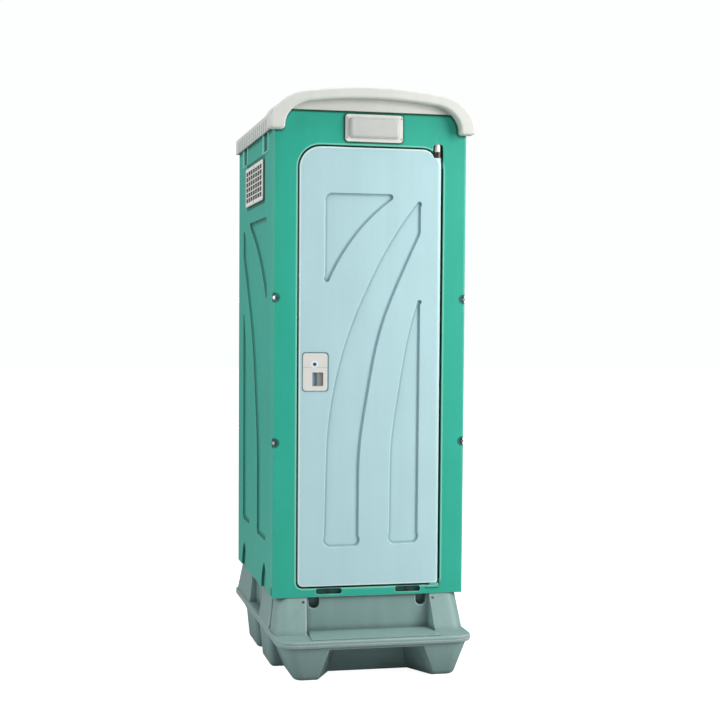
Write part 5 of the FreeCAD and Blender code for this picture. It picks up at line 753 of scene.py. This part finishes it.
# %% [markdown]
# Bolts, pins and plates are zinc plated steel. Plating shows as a soft grey metal with slightly different
# crystals, and fine scratches take some of its gloss. The crystals are the cells of a Voronoi pattern,
# which also raise the surface by a trace. The washers at the corners and the small bolts on the tank's
# columns are darker and duller, and the washers' dark greenish grey also stands in for the shade in
# their notches, a painted shade.
# %% Plated steel
def plated_steel(name, light, dark):
    """A plated metal whose crystals run from the light tone to the dark one."""
    paint, tree, shader = new_paint(name)
    corners = use(tree, soft_corners, Radius=0.0006)
    spangle = place(tree, "ShaderNodeTexVoronoi", Vector=piece_point(tree), Scale=420.0)
    grey = mixed(tree, spangle.outputs["Distance"], hexed(light), hexed(dark))
    marks = use(tree, scuffs, Fineness=160.0, Share=0.8)
    dull = maths(tree, "MULTIPLY_ADD", marks.outputs["Mask"], 0.3, 0.3)
    bump = place(tree, "ShaderNodeBump", Height=spangle.outputs["Distance"], Distance=0.00003,
                 Normal=corners.outputs["Normal"])
    give(tree, shader, Base_Color=grey, Roughness=dull, Metallic=1.0, Normal=bump.outputs["Normal"])
    return paint


steel = plated_steel("plated_steel", "C4C7CA", "9A9EA2")
dark_steel_and_shade = plated_steel("dark_steel_and_shade", "5E6B69", "46524F")
dress(steel, "bottom_pivot_pin", "strike_plate", "lamp_screws", "vent_screws", "corner_bolts",
      "seat_hinge_pin", "flap_hinge_pin", "pump_piston", "pump_spring", "cover_hinge_pin", "cap_hinge_pin")
# The washers' dark tone is partly a painted shade for their notches.
dress(dark_steel_and_shade, "corner_washers", "anchor_bolts")
print("steel is finished")

# %% [markdown]
# The lamp's cover is a frosted moulding that scatters light. Clear glass would show all that lies behind
# it, so the shader lets less than half of the light through, and roughly, and the board behind shows as a
# pale shape. The fine upright flutes on its inside are a wave pattern that bends the normal.
# %% Lamp cover
def frosted_cover():
    paint, tree, shader = new_paint("frosted_cover")
    corners = use(tree, soft_corners, Radius=0.002)
    flutes = place(tree, "ShaderNodeTexWave", {"bands_direction": "X"}, Vector=piece_point(tree), Scale=55.0,
                   Distortion=0.0)
    bump = place(tree, "ShaderNodeBump", Height=flutes.outputs["Fac"], Distance=0.0002,
                 Normal=corners.outputs["Normal"])
    toned = use(tree, tone_drift, Colour=hexed("F0F3F0"), Amount=0.03, Patch=0.05)
    rough = maths(tree, "MULTIPLY_ADD", toned.outputs["Tone"], 0.04, 0.34)
    give(tree, shader, Base_Color=toned.outputs["Colour"], Roughness=rough, Normal=bump.outputs["Normal"],
         Transmission_Weight=0.45, IOR=1.49)
    return paint


cover_paint = frosted_cover()
dress(cover_paint, "lamp_lens")
board_white = moulded("board_white", "E9EDE6", rough=0.35, pebble=0.0005, depth=0.00001, wave=0.0,
                      corner=0.0004, drift=0.02, ledges=0.0, edge=0.0)
dress(board_white, "lamp_led_board")
print("lamp is finished")

# %% [markdown]
# Toilet paper is soft and slightly cream, pressed with a fine quilt of dots, and its ends show the wound
# layers as rings. The card tube in it is brown and wound in the same way. The rings are worked out from the
# distance to the roll's own axis, which runs along Y, and the dots are the cells of a Voronoi pattern.
# %% Paper and card
def paper_finish(name, colour, ring, quilt):
    """Wound paper or card, with rings about the roll's axis and a quilt of dots."""
    paint, tree, shader = new_paint(name)
    low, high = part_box("paper_roll")
    middle = (low + high) / 2
    centred = place(tree, "ShaderNodeMapping", Vector=piece_point(tree), Location=tuple(-middle))
    apart = place(tree, "ShaderNodeSeparateXYZ", Vector=centred.outputs["Vector"])
    flat = place(tree, "ShaderNodeCombineXYZ", X=apart.outputs["X"], Z=apart.outputs["Z"])
    radius = place(tree, "ShaderNodeVectorMath", {"operation": "LENGTH"}, _0=flat.outputs["Vector"])
    turns = maths(tree, "SINE", maths(tree, "MULTIPLY", radius.outputs["Value"], ring))
    dots = place(tree, "ShaderNodeTexVoronoi", Vector=centred.outputs["Vector"], Scale=quilt)
    height = maths(tree, "MULTIPLY_ADD", turns, 0.4, dots.outputs["Distance"])
    bump = place(tree, "ShaderNodeBump", Height=height, Distance=0.0004)
    fibres = place(tree, "ShaderNodeTexNoise", Vector=centred.outputs["Vector"], Scale=500.0, Detail=4.0)
    base = hexed(colour)
    tint = mixed(tree, fibres.outputs["Fac"], base, tuple(c * 0.86 for c in base[:3]) + (1,))
    give(tree, shader, Base_Color=tint, Normal=bump.outputs["Normal"], Roughness=0.9, Sheen_Weight=0.2)
    return paint


dress(paper_finish("roll_paper", "F1EFE9", 9000.0, 260.0), "paper_roll")
dress(paper_finish("roll_card", "B89A74", 5000.0, 90.0), "paper_core")
print("paper is finished")

# %% [markdown]
# Small things that repeat are grown by Geometry Nodes. A tree takes a few points that carry the way they
# face, sets one small shape on each, and joins them into a mesh with one finish. A modifier's inputs are
# set by the identifier of each socket, which never changes as a name can. The result is kept as plain mesh,
# so nothing has to be worked out again when the cabin moves.
# %% Tools for Geometry Nodes
GEOMETRY = "NodeSocketGeometry"
WHOLE = "NodeSocketInt"
FULL_TURN = 2 * math.pi


def new_tree(name, inputs):
    """A geometry tree for points and named sizes: the tree, what it is given, and its output node."""
    tree = bpy.data.node_groups.new(name, "GeometryNodeTree")
    tree.interface.new_socket(name="Geometry", in_out="INPUT", socket_type=GEOMETRY)
    for title, kind, value in inputs:
        tree.interface.new_socket(name=title, in_out="INPUT", socket_type=kind).default_value = value
    tree.interface.new_socket(name="Geometry", in_out="OUTPUT", socket_type=GEOMETRY)
    return tree, tree.nodes.new("NodeGroupInput").outputs, tree.nodes.new("NodeGroupOutput")


def set_on_points(tree, given, shape, seed):
    """One copy of the shape on each point, its +Z turned to the point's way and rolled at random about it."""
    way = place(tree, "GeometryNodeInputNamedAttribute", {"data_type": "FLOAT_VECTOR"}, Name="way")
    facing = place(tree, "FunctionNodeAlignRotationToVector", {"axis": "Z"}, Vector=way.outputs["Attribute"])
    chance = place(tree, "FunctionNodeRandomValue", {"data_type": "FLOAT"}, _3=FULL_TURN, Seed=seed)
    about = place(tree, "ShaderNodeCombineXYZ", Z=chance.outputs[1])
    roll = place(tree, "FunctionNodeEulerToRotation", Euler=about.outputs["Vector"])
    turned = place(tree, "FunctionNodeRotateRotation", {"rotation_space": "LOCAL"},
                   Rotation=facing.outputs["Rotation"], Rotate_By=roll.outputs["Rotation"])
    return place(tree, "GeometryNodeInstanceOnPoints", Points=given["Geometry"], Instance=shape,
                 Rotation=turned.outputs["Rotation"]).outputs["Instances"]


def close_tree(tree, instances, result, paint):
    """The instances become one mesh with one finish."""
    real = place(tree, "GeometryNodeRealizeInstances", Geometry=instances)
    dressed = place(tree, "GeometryNodeSetMaterial", Geometry=real.outputs["Geometry"], Material=paint)
    give(tree, result, Geometry=dressed.outputs["Geometry"])
    return tree


def grow(name, tree, spots, body, sizes, edges=()):
    """Runs a tree on spots, pairs of a point and a way, and keeps the result as one plain mesh on a body."""
    mesh = bpy.data.meshes.new(name)
    mesh.from_pydata([point for point, way in spots], edges, [])
    facing = mesh.attributes.new("way", "FLOAT_VECTOR", "POINT")
    facing.data.foreach_set("vector", [part for point, way in spots for part in way])
    piece = added(name, mesh)
    growing = piece.modifiers.new("grow", "NODES")
    growing.node_group = tree
    for socket in tree.interface.items_tree:
        if socket.in_out == "INPUT" and socket.name in sizes:
            growing[socket.identifier] = sizes[socket.name]
    seen = piece.evaluated_get(bpy.context.evaluated_depsgraph_get())
    grown = bpy.data.meshes.new_from_object(seen)
    piece.modifiers.remove(growing)
    piece.data = grown
    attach(piece, body)
    print(name, len(grown.polygons), "faces")
    return piece


print("tools for Geometry Nodes are ready")

# %% [markdown]
# The screws of the lamp and of the two vents are pan heads with a cross recess. A dark cross in the
# material would look flat from the side, so the tree turns a flattened ball into a head and cuts two
# crossed bars out of it. It takes the heads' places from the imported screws, which the heads then replace.
# %% Screw heads
SCREW_RISE = 0.0024


def moved_shape(tree, shape, **values):
    """A shape that is scaled or set elsewhere."""
    return place(tree, "GeometryNodeTransform", Geometry=shape, **values).outputs["Geometry"]


def screw_tree(paint):
    tree, given, result = new_tree("screw heads", [
        ("Head Radius", FLOAT, 0.004), ("Head Height", FLOAT, 0.0024), ("Recess Width", FLOAT, 0.001),
        ("Recess Depth", FLOAT, 0.0014), ("Seed", WHOLE, 3)])
    ball = place(tree, "GeometryNodeMeshUVSphere", Segments=28, Rings=14, Radius=1.0)
    form = place(tree, "ShaderNodeCombineXYZ", X=given["Head Radius"], Y=given["Head Radius"],
                 Z=given["Head Height"])
    head = moved_shape(tree, ball.outputs["Mesh"], Scale=form.outputs["Vector"])
    cross = place(tree, "GeometryNodeMeshBoolean", {"operation": "DIFFERENCE"}, Mesh_1=head)
    top = place(tree, "ShaderNodeCombineXYZ", Z=given["Head Height"])
    long = maths(tree, "MULTIPLY", given["Head Radius"], 1.25)
    deep = maths(tree, "MULTIPLY", given["Recess Depth"], 2.0)
    for across in ({"X": long, "Y": given["Recess Width"]}, {"X": given["Recess Width"], "Y": long}):
        bar_size = place(tree, "ShaderNodeCombineXYZ", Z=deep, **across)
        bar = place(tree, "GeometryNodeMeshCube", Size=bar_size.outputs["Vector"])
        cutter = moved_shape(tree, bar.outputs["Mesh"], Translation=top.outputs["Vector"])
        tree.links.new(cutter, cross.inputs["Mesh 2"])
    heads = set_on_points(tree, given, cross.outputs["Mesh"], given["Seed"])
    return close_tree(tree, heads, result, paint)


def head_spots(name, way_of):
    """Where the head of each packed screw meets what it holds down, and the way that it faces."""
    spots = []
    for low, high in loose_boxes(name):
        middle = (low + high) / 2
        way = way_of(middle)
        face = middle.copy()
        axis = max(range(3), key=lambda i: abs(way[i]))
        face[axis] = high[axis] if way[axis] > 0 else low[axis]
        spots.append((face - way * SCREW_RISE, way))
    return spots


screw_heads = screw_tree(steel)
lamp_heads = grow("lamp_screw_heads", screw_heads, head_spots("lamp_screws", lambda at: Vector((0, -1, 0))),
                  "cabin", {"Head Radius": 0.004, "Seed": 3})
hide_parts("lamp_screws")
vent_heads = grow("vent_screw_heads", screw_heads,
                  head_spots("vent_screws", lambda at: Vector((math.copysign(1, at.x), 0, 0))),
                  "cabin", {"Head Radius": 0.005, "Seed": 8})
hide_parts("vent_screws")

# %% [markdown]
# The lamp's cover and the dark ring behind the lock plate, a painted shadow, are thin trays and rings with
# round corners. They are drawn as outlines that step forward and inward, with a skin from each outline to
# the next, which keeps the wall even and the faces few. The helpers draw one outline and lay the skin.
# %% Outlines with a skin
ARC_STEPS = 8


def rounded_outline(low, high, corner, y):
    """Points round an upright rectangle with round corners, which faces along Y."""
    points = []
    for side_x, side_z, start in ((1, 1, 0), (-1, 1, 1), (-1, -1, 2), (1, -1, 3)):
        middle_x = (high[0] if side_x > 0 else low[0]) - side_x * corner
        middle_z = (high[1] if side_z > 0 else low[1]) - side_z * corner
        for step in range(ARC_STEPS + 1):
            turn = (start + step / ARC_STEPS) * math.pi / 2
            points.append((middle_x + corner * math.cos(turn), y, middle_z + corner * math.sin(turn)))
    return points


def skinned(name, outlines, closed, body, paint):
    """A mesh with a skin between each outline and the next.

    Where it is closed, the last outline is joined to the first, and otherwise both ends get a face."""
    count = len(outlines[0])
    points = [point for outline in outlines for point in outline]
    steps = len(outlines) if closed else len(outlines) - 1
    faces = []
    for step in range(steps):
        here = step * count
        there = (step + 1) % len(outlines) * count
        for i in range(count):
            j = (i + 1) % count
            faces.append((here + i, here + j, there + j, there + i))
    if not closed:
        faces += [tuple(range(count - 1, -1, -1)), tuple(range(len(points) - count, len(points)))]
    mesh = bpy.data.meshes.new(name)
    mesh.from_pydata(points, [], faces)
    shell = bmesh.new()
    shell.from_mesh(mesh)
    bmesh.ops.recalc_face_normals(shell, faces=shell.faces)
    shell.to_mesh(mesh)
    shell.free()
    mesh.materials.append(paint)
    piece = added(name, mesh)
    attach(piece, body)
    print(name, len(faces), "faces")
    return piece


print("tools for outlines are ready")

# %% [markdown]
# The cover is a shallow tray with a wall, a little smaller than its base, so that the base shows as a frame
# with a screw in each corner. Its sides lean in and its front edge is rolled, which the steps give as
# shares of its depth and how far each leans in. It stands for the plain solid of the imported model.
# %% The lamp's cover
COVER_WALL = 0.0025
COVER_MARGIN = (0.018, 0.016)
COVER_CORNER = 0.012
COVER_STEPS = ((0.0, 0.0), (0.72, 0.003), (0.93, 0.007), (1.0, 0.013))


def cover_outlines(wall):
    """The outlines of the cover's outside, or of its inside where a wall is given."""
    base_low, base_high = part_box("lamp_base")
    lens_low, lens_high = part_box("lamp_lens")
    deep = lens_high.y - lens_low.y - wall
    outlines = []
    for share, lean in COVER_STEPS:
        inward = lean + wall
        low = (base_low.x + COVER_MARGIN[0] + inward, base_low.z + COVER_MARGIN[1] + inward)
        high = (base_high.x - COVER_MARGIN[0] - inward, base_high.z - COVER_MARGIN[1] - inward)
        corner = COVER_CORNER - wall - lean * 0.5
        outlines.append(rounded_outline(low, high, corner, lens_high.y - deep * share))
    return outlines


cover = skinned("lamp_cover", cover_outlines(COVER_WALL)[::-1] + cover_outlines(0.0), False, "cabin",
                cover_paint)
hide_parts("lamp_lens")

# %% [markdown]
# The lock plate is set in a shallow recess of the door, and its gap shows as a dark line that is wider
# above it and on its right, where the shadow falls. A flat dark ring gives that line as a painted shadow.
# It reaches a little under the plate, and stands proud of the door by less than a millimetre.
# %% The painted shadow round the lock plate
SHADOW_RING_WIDTH = 0.0048
SHADOW_RING_RISE = 0.0009
SHADOW_RING_UNDER = -0.0005
SHADOW_RING_SHARES = (0.4, 0.4, 1.0, 0.8)
SHADOW_RING_CORNER = 0.014


def plate_shadow_ring(paint):
    """A dark ring round the lock plate, a painted shadow. Its shares are for the left, below, the right and
    above.
    """
    plate_low, plate_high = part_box("lock_escutcheon")
    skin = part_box("door_outer_skin")[0].y
    left, below, right, above = SHADOW_RING_SHARES
    outlines = []
    for width, rise in ((SHADOW_RING_WIDTH, SHADOW_RING_UNDER), (SHADOW_RING_WIDTH, SHADOW_RING_RISE), (SHADOW_RING_UNDER, SHADOW_RING_RISE),
                        (SHADOW_RING_UNDER, SHADOW_RING_UNDER)):
        low = (plate_low.x - width * left, plate_low.z - width * below)
        high = (plate_high.x + width * right, plate_high.z + width * above)
        outlines.append(rounded_outline(low, high, SHADOW_RING_CORNER, skin - rise))
    return skinned("lock_plate_shadow_ring", outlines, True, "door", paint)


# The ring's dark blue grey is a painted shadow of the plate's gap.
gap_shadow_paint = moulded("gap_shadow_paint", "4C6C75", rough=0.6, pebble=0.0006, depth=0.00002, wave=0.0,
                      corner=0.0005, drift=0.05, ledges=0.1, edge=0.1)
plate_shadow_ring(gap_shadow_paint)

# %% [markdown]
# Each pocket under the door holds the head of a bolt on a washer. The photograph shows little more than
# their dark shapes, so a six-sided cylinder on a flat round one is enough. The tree joins the two and sets
# them on a point at the back of each pocket.
# %% Bolts in the pockets
POCKET_BACK = FRONT_FACE + 0.021
POCKET_BOLTS = (-0.184, 0.184)
BOLT_HEIGHT = 0.366


def hexagon_tree(paint):
    tree, given, result = new_tree("hexagon heads", [
        ("Radius", FLOAT, 0.0075), ("Height", FLOAT, 0.005), ("Washer", FLOAT, 1.5), ("Seed", WHOLE, 2)])
    head = place(tree, "GeometryNodeMeshCylinder", Vertices=6, Radius=given["Radius"], Depth=given["Height"])
    wide = maths(tree, "MULTIPLY", given["Radius"], given["Washer"])
    thick = maths(tree, "MULTIPLY", given["Height"], 0.4)
    washer = place(tree, "GeometryNodeMeshCylinder", Vertices=32, Radius=wide, Depth=thick)
    both = tree.nodes.new("GeometryNodeJoinGeometry")
    for shape in (washer, head):
        tree.links.new(shape.outputs["Mesh"], both.inputs["Geometry"])
    bolts = set_on_points(tree, given, both.outputs["Geometry"], given["Seed"])
    return close_tree(tree, bolts, result, paint)


bolt_spots = [(Vector((x, POCKET_BACK - 0.001, BOLT_HEIGHT)), Vector((0, -1, 0))) for x in POCKET_BOLTS]
grow("pocket_bolts", hexagon_tree(near_black), bolt_spots, "cabin", {"Seed": 2})

# %% [markdown]
# The pockets for the roof's clips have a raised rim at their sides and foot, broad and soft at the sides
# and narrow at the foot, which catches the light as a pale line. Its green is paler than the wall's, a
# painted highlight on that line. The rim is part of the wall, so the tree sweeps a round bar along a few
# edges, and the bars are sunk in the wall until only a low ridge is left.
# %% Rims of the clip pockets
CLIP_WIDTH = 0.15
CLIP_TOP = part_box("left_side_wall")[1].z - 0.03
CLIP_LOW = 2.358
CLIP_MIDDLES = (-0.284, 0.358)
RIM_PROUD = 0.0035


def rim_tree(paint):
    """Sweeps a round bar along each edge of the mesh that is given."""
    tree, given, result = new_tree("pocket rims", [("Width", FLOAT, 0.012)])
    path = place(tree, "GeometryNodeMeshToCurve", Mesh=given["Geometry"])
    bar = place(tree, "GeometryNodeCurvePrimitiveCircle", {"mode": "RADIUS"}, Resolution=10,
                Radius=given["Width"])
    swept = place(tree, "GeometryNodeCurveToMesh", Curve=path.outputs["Curve"],
                  Profile_Curve=bar.outputs["Curve"], Fill_Caps=True)
    return close_tree(tree, swept.outputs["Mesh"], result, paint)


def side_bars(back, front):
    """The two upright bars of a pocket, each by the Y and Z of its ends."""
    return [((back, CLIP_TOP), (back, CLIP_LOW)), ((front, CLIP_LOW), (front, CLIP_TOP))]


def foot_bar(back, front):
    """The one level bar under a pocket."""
    return [((back, CLIP_LOW), (front, CLIP_LOW))]


def pocket_bars(radius, bars_of):
    """The middle lines of the bars on both side walls, as spots and edges between them."""
    spots, edges = [], []
    for side in (-1, 1):
        x = side * (WALL_FACE - radius + RIM_PROUD)
        for middle in CLIP_MIDDLES:
            for bar in bars_of(middle + CLIP_WIDTH / 2, middle - CLIP_WIDTH / 2):
                spots += [((x, y, z), (0, 0, 1)) for y, z in bar]
                edges.append((len(spots) - 2, len(spots) - 1))
    return spots, edges


# The rims' paler green is a painted highlight.
rim_highlight_green = moulded("rim_highlight_green", "6CC7B4", rough=0.42, pebble=0.002, depth=0.0001, drift=0.02, edge=0.3)
rims = rim_tree(rim_highlight_green)
for name, radius, bars_of in (("clip_pocket_sides", 0.011, side_bars), ("clip_pocket_feet", 0.006, foot_bar)):
    spots, edges = pocket_bars(radius, bars_of)
    grow(name, rims, spots, "cabin", {"Width": radius}, edges)

# %% [markdown]
# The floor of the cabin is moulded with small round studs, so that it isn't slippery when it is wet. They
# stand up enough to catch the light through the open door, so they are real shapes and not a bump in the
# finish. The tree sets a low cone with few faces on each point of a staggered grid in front of the toilet.
# %% Floor studs
STUD_PITCH = 0.03
ROW_SHARE = 0.87
STUD_HEIGHT = 0.0016


def stud_tree(paint):
    tree, given, result = new_tree("floor studs", [
        ("Foot Radius", FLOAT, 0.007), ("Top Radius", FLOAT, 0.0052), ("Height", FLOAT, STUD_HEIGHT),
        ("Seed", WHOLE, 5)])
    stud = place(tree, "GeometryNodeMeshCone", Vertices=20, Radius_Top=given["Top Radius"],
                 Radius_Bottom=given["Foot Radius"], Depth=given["Height"])
    studs = set_on_points(tree, given, stud.outputs["Mesh"], given["Seed"])
    return close_tree(tree, studs, result, paint)


def stud_spots():
    """A staggered grid on the tray, from the doorway to the toilet's foot."""
    low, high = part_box("floor_tray")
    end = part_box("toilet_bowl")[0].y - STUD_PITCH
    spots = []
    rows = int((end - low.y - STUD_PITCH) / (STUD_PITCH * ROW_SHARE))
    columns = int((high.x - low.x - 2 * STUD_PITCH) / STUD_PITCH)
    for row in range(rows):
        for column in range(columns - row % 2):
            x = (column - (columns - 1 - row % 2) / 2) * STUD_PITCH
            y = low.y + STUD_PITCH * (1 + ROW_SHARE * row)
            spots.append((Vector((x, y, high.z)), Vector((0, 0, 1))))
    return spots


grow("floor_studs", stud_tree(floor_grey), stud_spots(), "cabin", {"Seed": 5})

# %% [markdown]
# The lamp's board carries rows of small light-emitting chips, each a pale yellow square with a thin white
# rim. They are shallow boxes on the points of a grid, and they show softly through the cover. The rim needs
# no shape of its own, because the mask of the soft corners gives it.
# %% Chips of the lamp
CHIP_ROWS = 2
CHIP_COLUMNS = 10


def chip_finish():
    paint, tree, shader = new_paint("lamp_chip")
    corners = use(tree, soft_corners, Radius=0.0004)
    toned = use(tree, tone_drift, Colour=hexed("E8D77A"), Amount=0.06, Patch=0.004)
    rimmed = mixed(tree, corners.outputs["Edge"], toned.outputs["Colour"], hexed("F2F2EC"))
    give(tree, shader, Base_Color=rimmed, Normal=corners.outputs["Normal"], Roughness=0.3)
    return paint


def chip_tree(paint):
    tree, given, result = new_tree("lamp chips", [("Side", FLOAT, 0.0035), ("Rise", FLOAT, 0.0009)])
    form = place(tree, "ShaderNodeCombineXYZ", X=given["Side"], Y=given["Rise"], Z=given["Side"])
    chip = place(tree, "GeometryNodeMeshCube", Size=form.outputs["Vector"])
    chips = place(tree, "GeometryNodeInstanceOnPoints", Points=given["Geometry"],
                  Instance=chip.outputs["Mesh"])
    return close_tree(tree, chips.outputs["Instances"], result, paint)


def chip_spots():
    """The middles of the chips, on the front face of the board."""
    low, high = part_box("lamp_led_board")
    wide = (high.x - low.x) / CHIP_COLUMNS
    tall = (high.z - low.z) / CHIP_ROWS
    return [(Vector((low.x + wide * (i + 0.5), low.y, low.z + tall * (j + 0.5))), Vector((0, -1, 0)))
            for i in range(CHIP_COLUMNS) for j in range(CHIP_ROWS)]


grow("lamp_chips", chip_tree(chip_finish()), chip_spots(), "cabin", {})
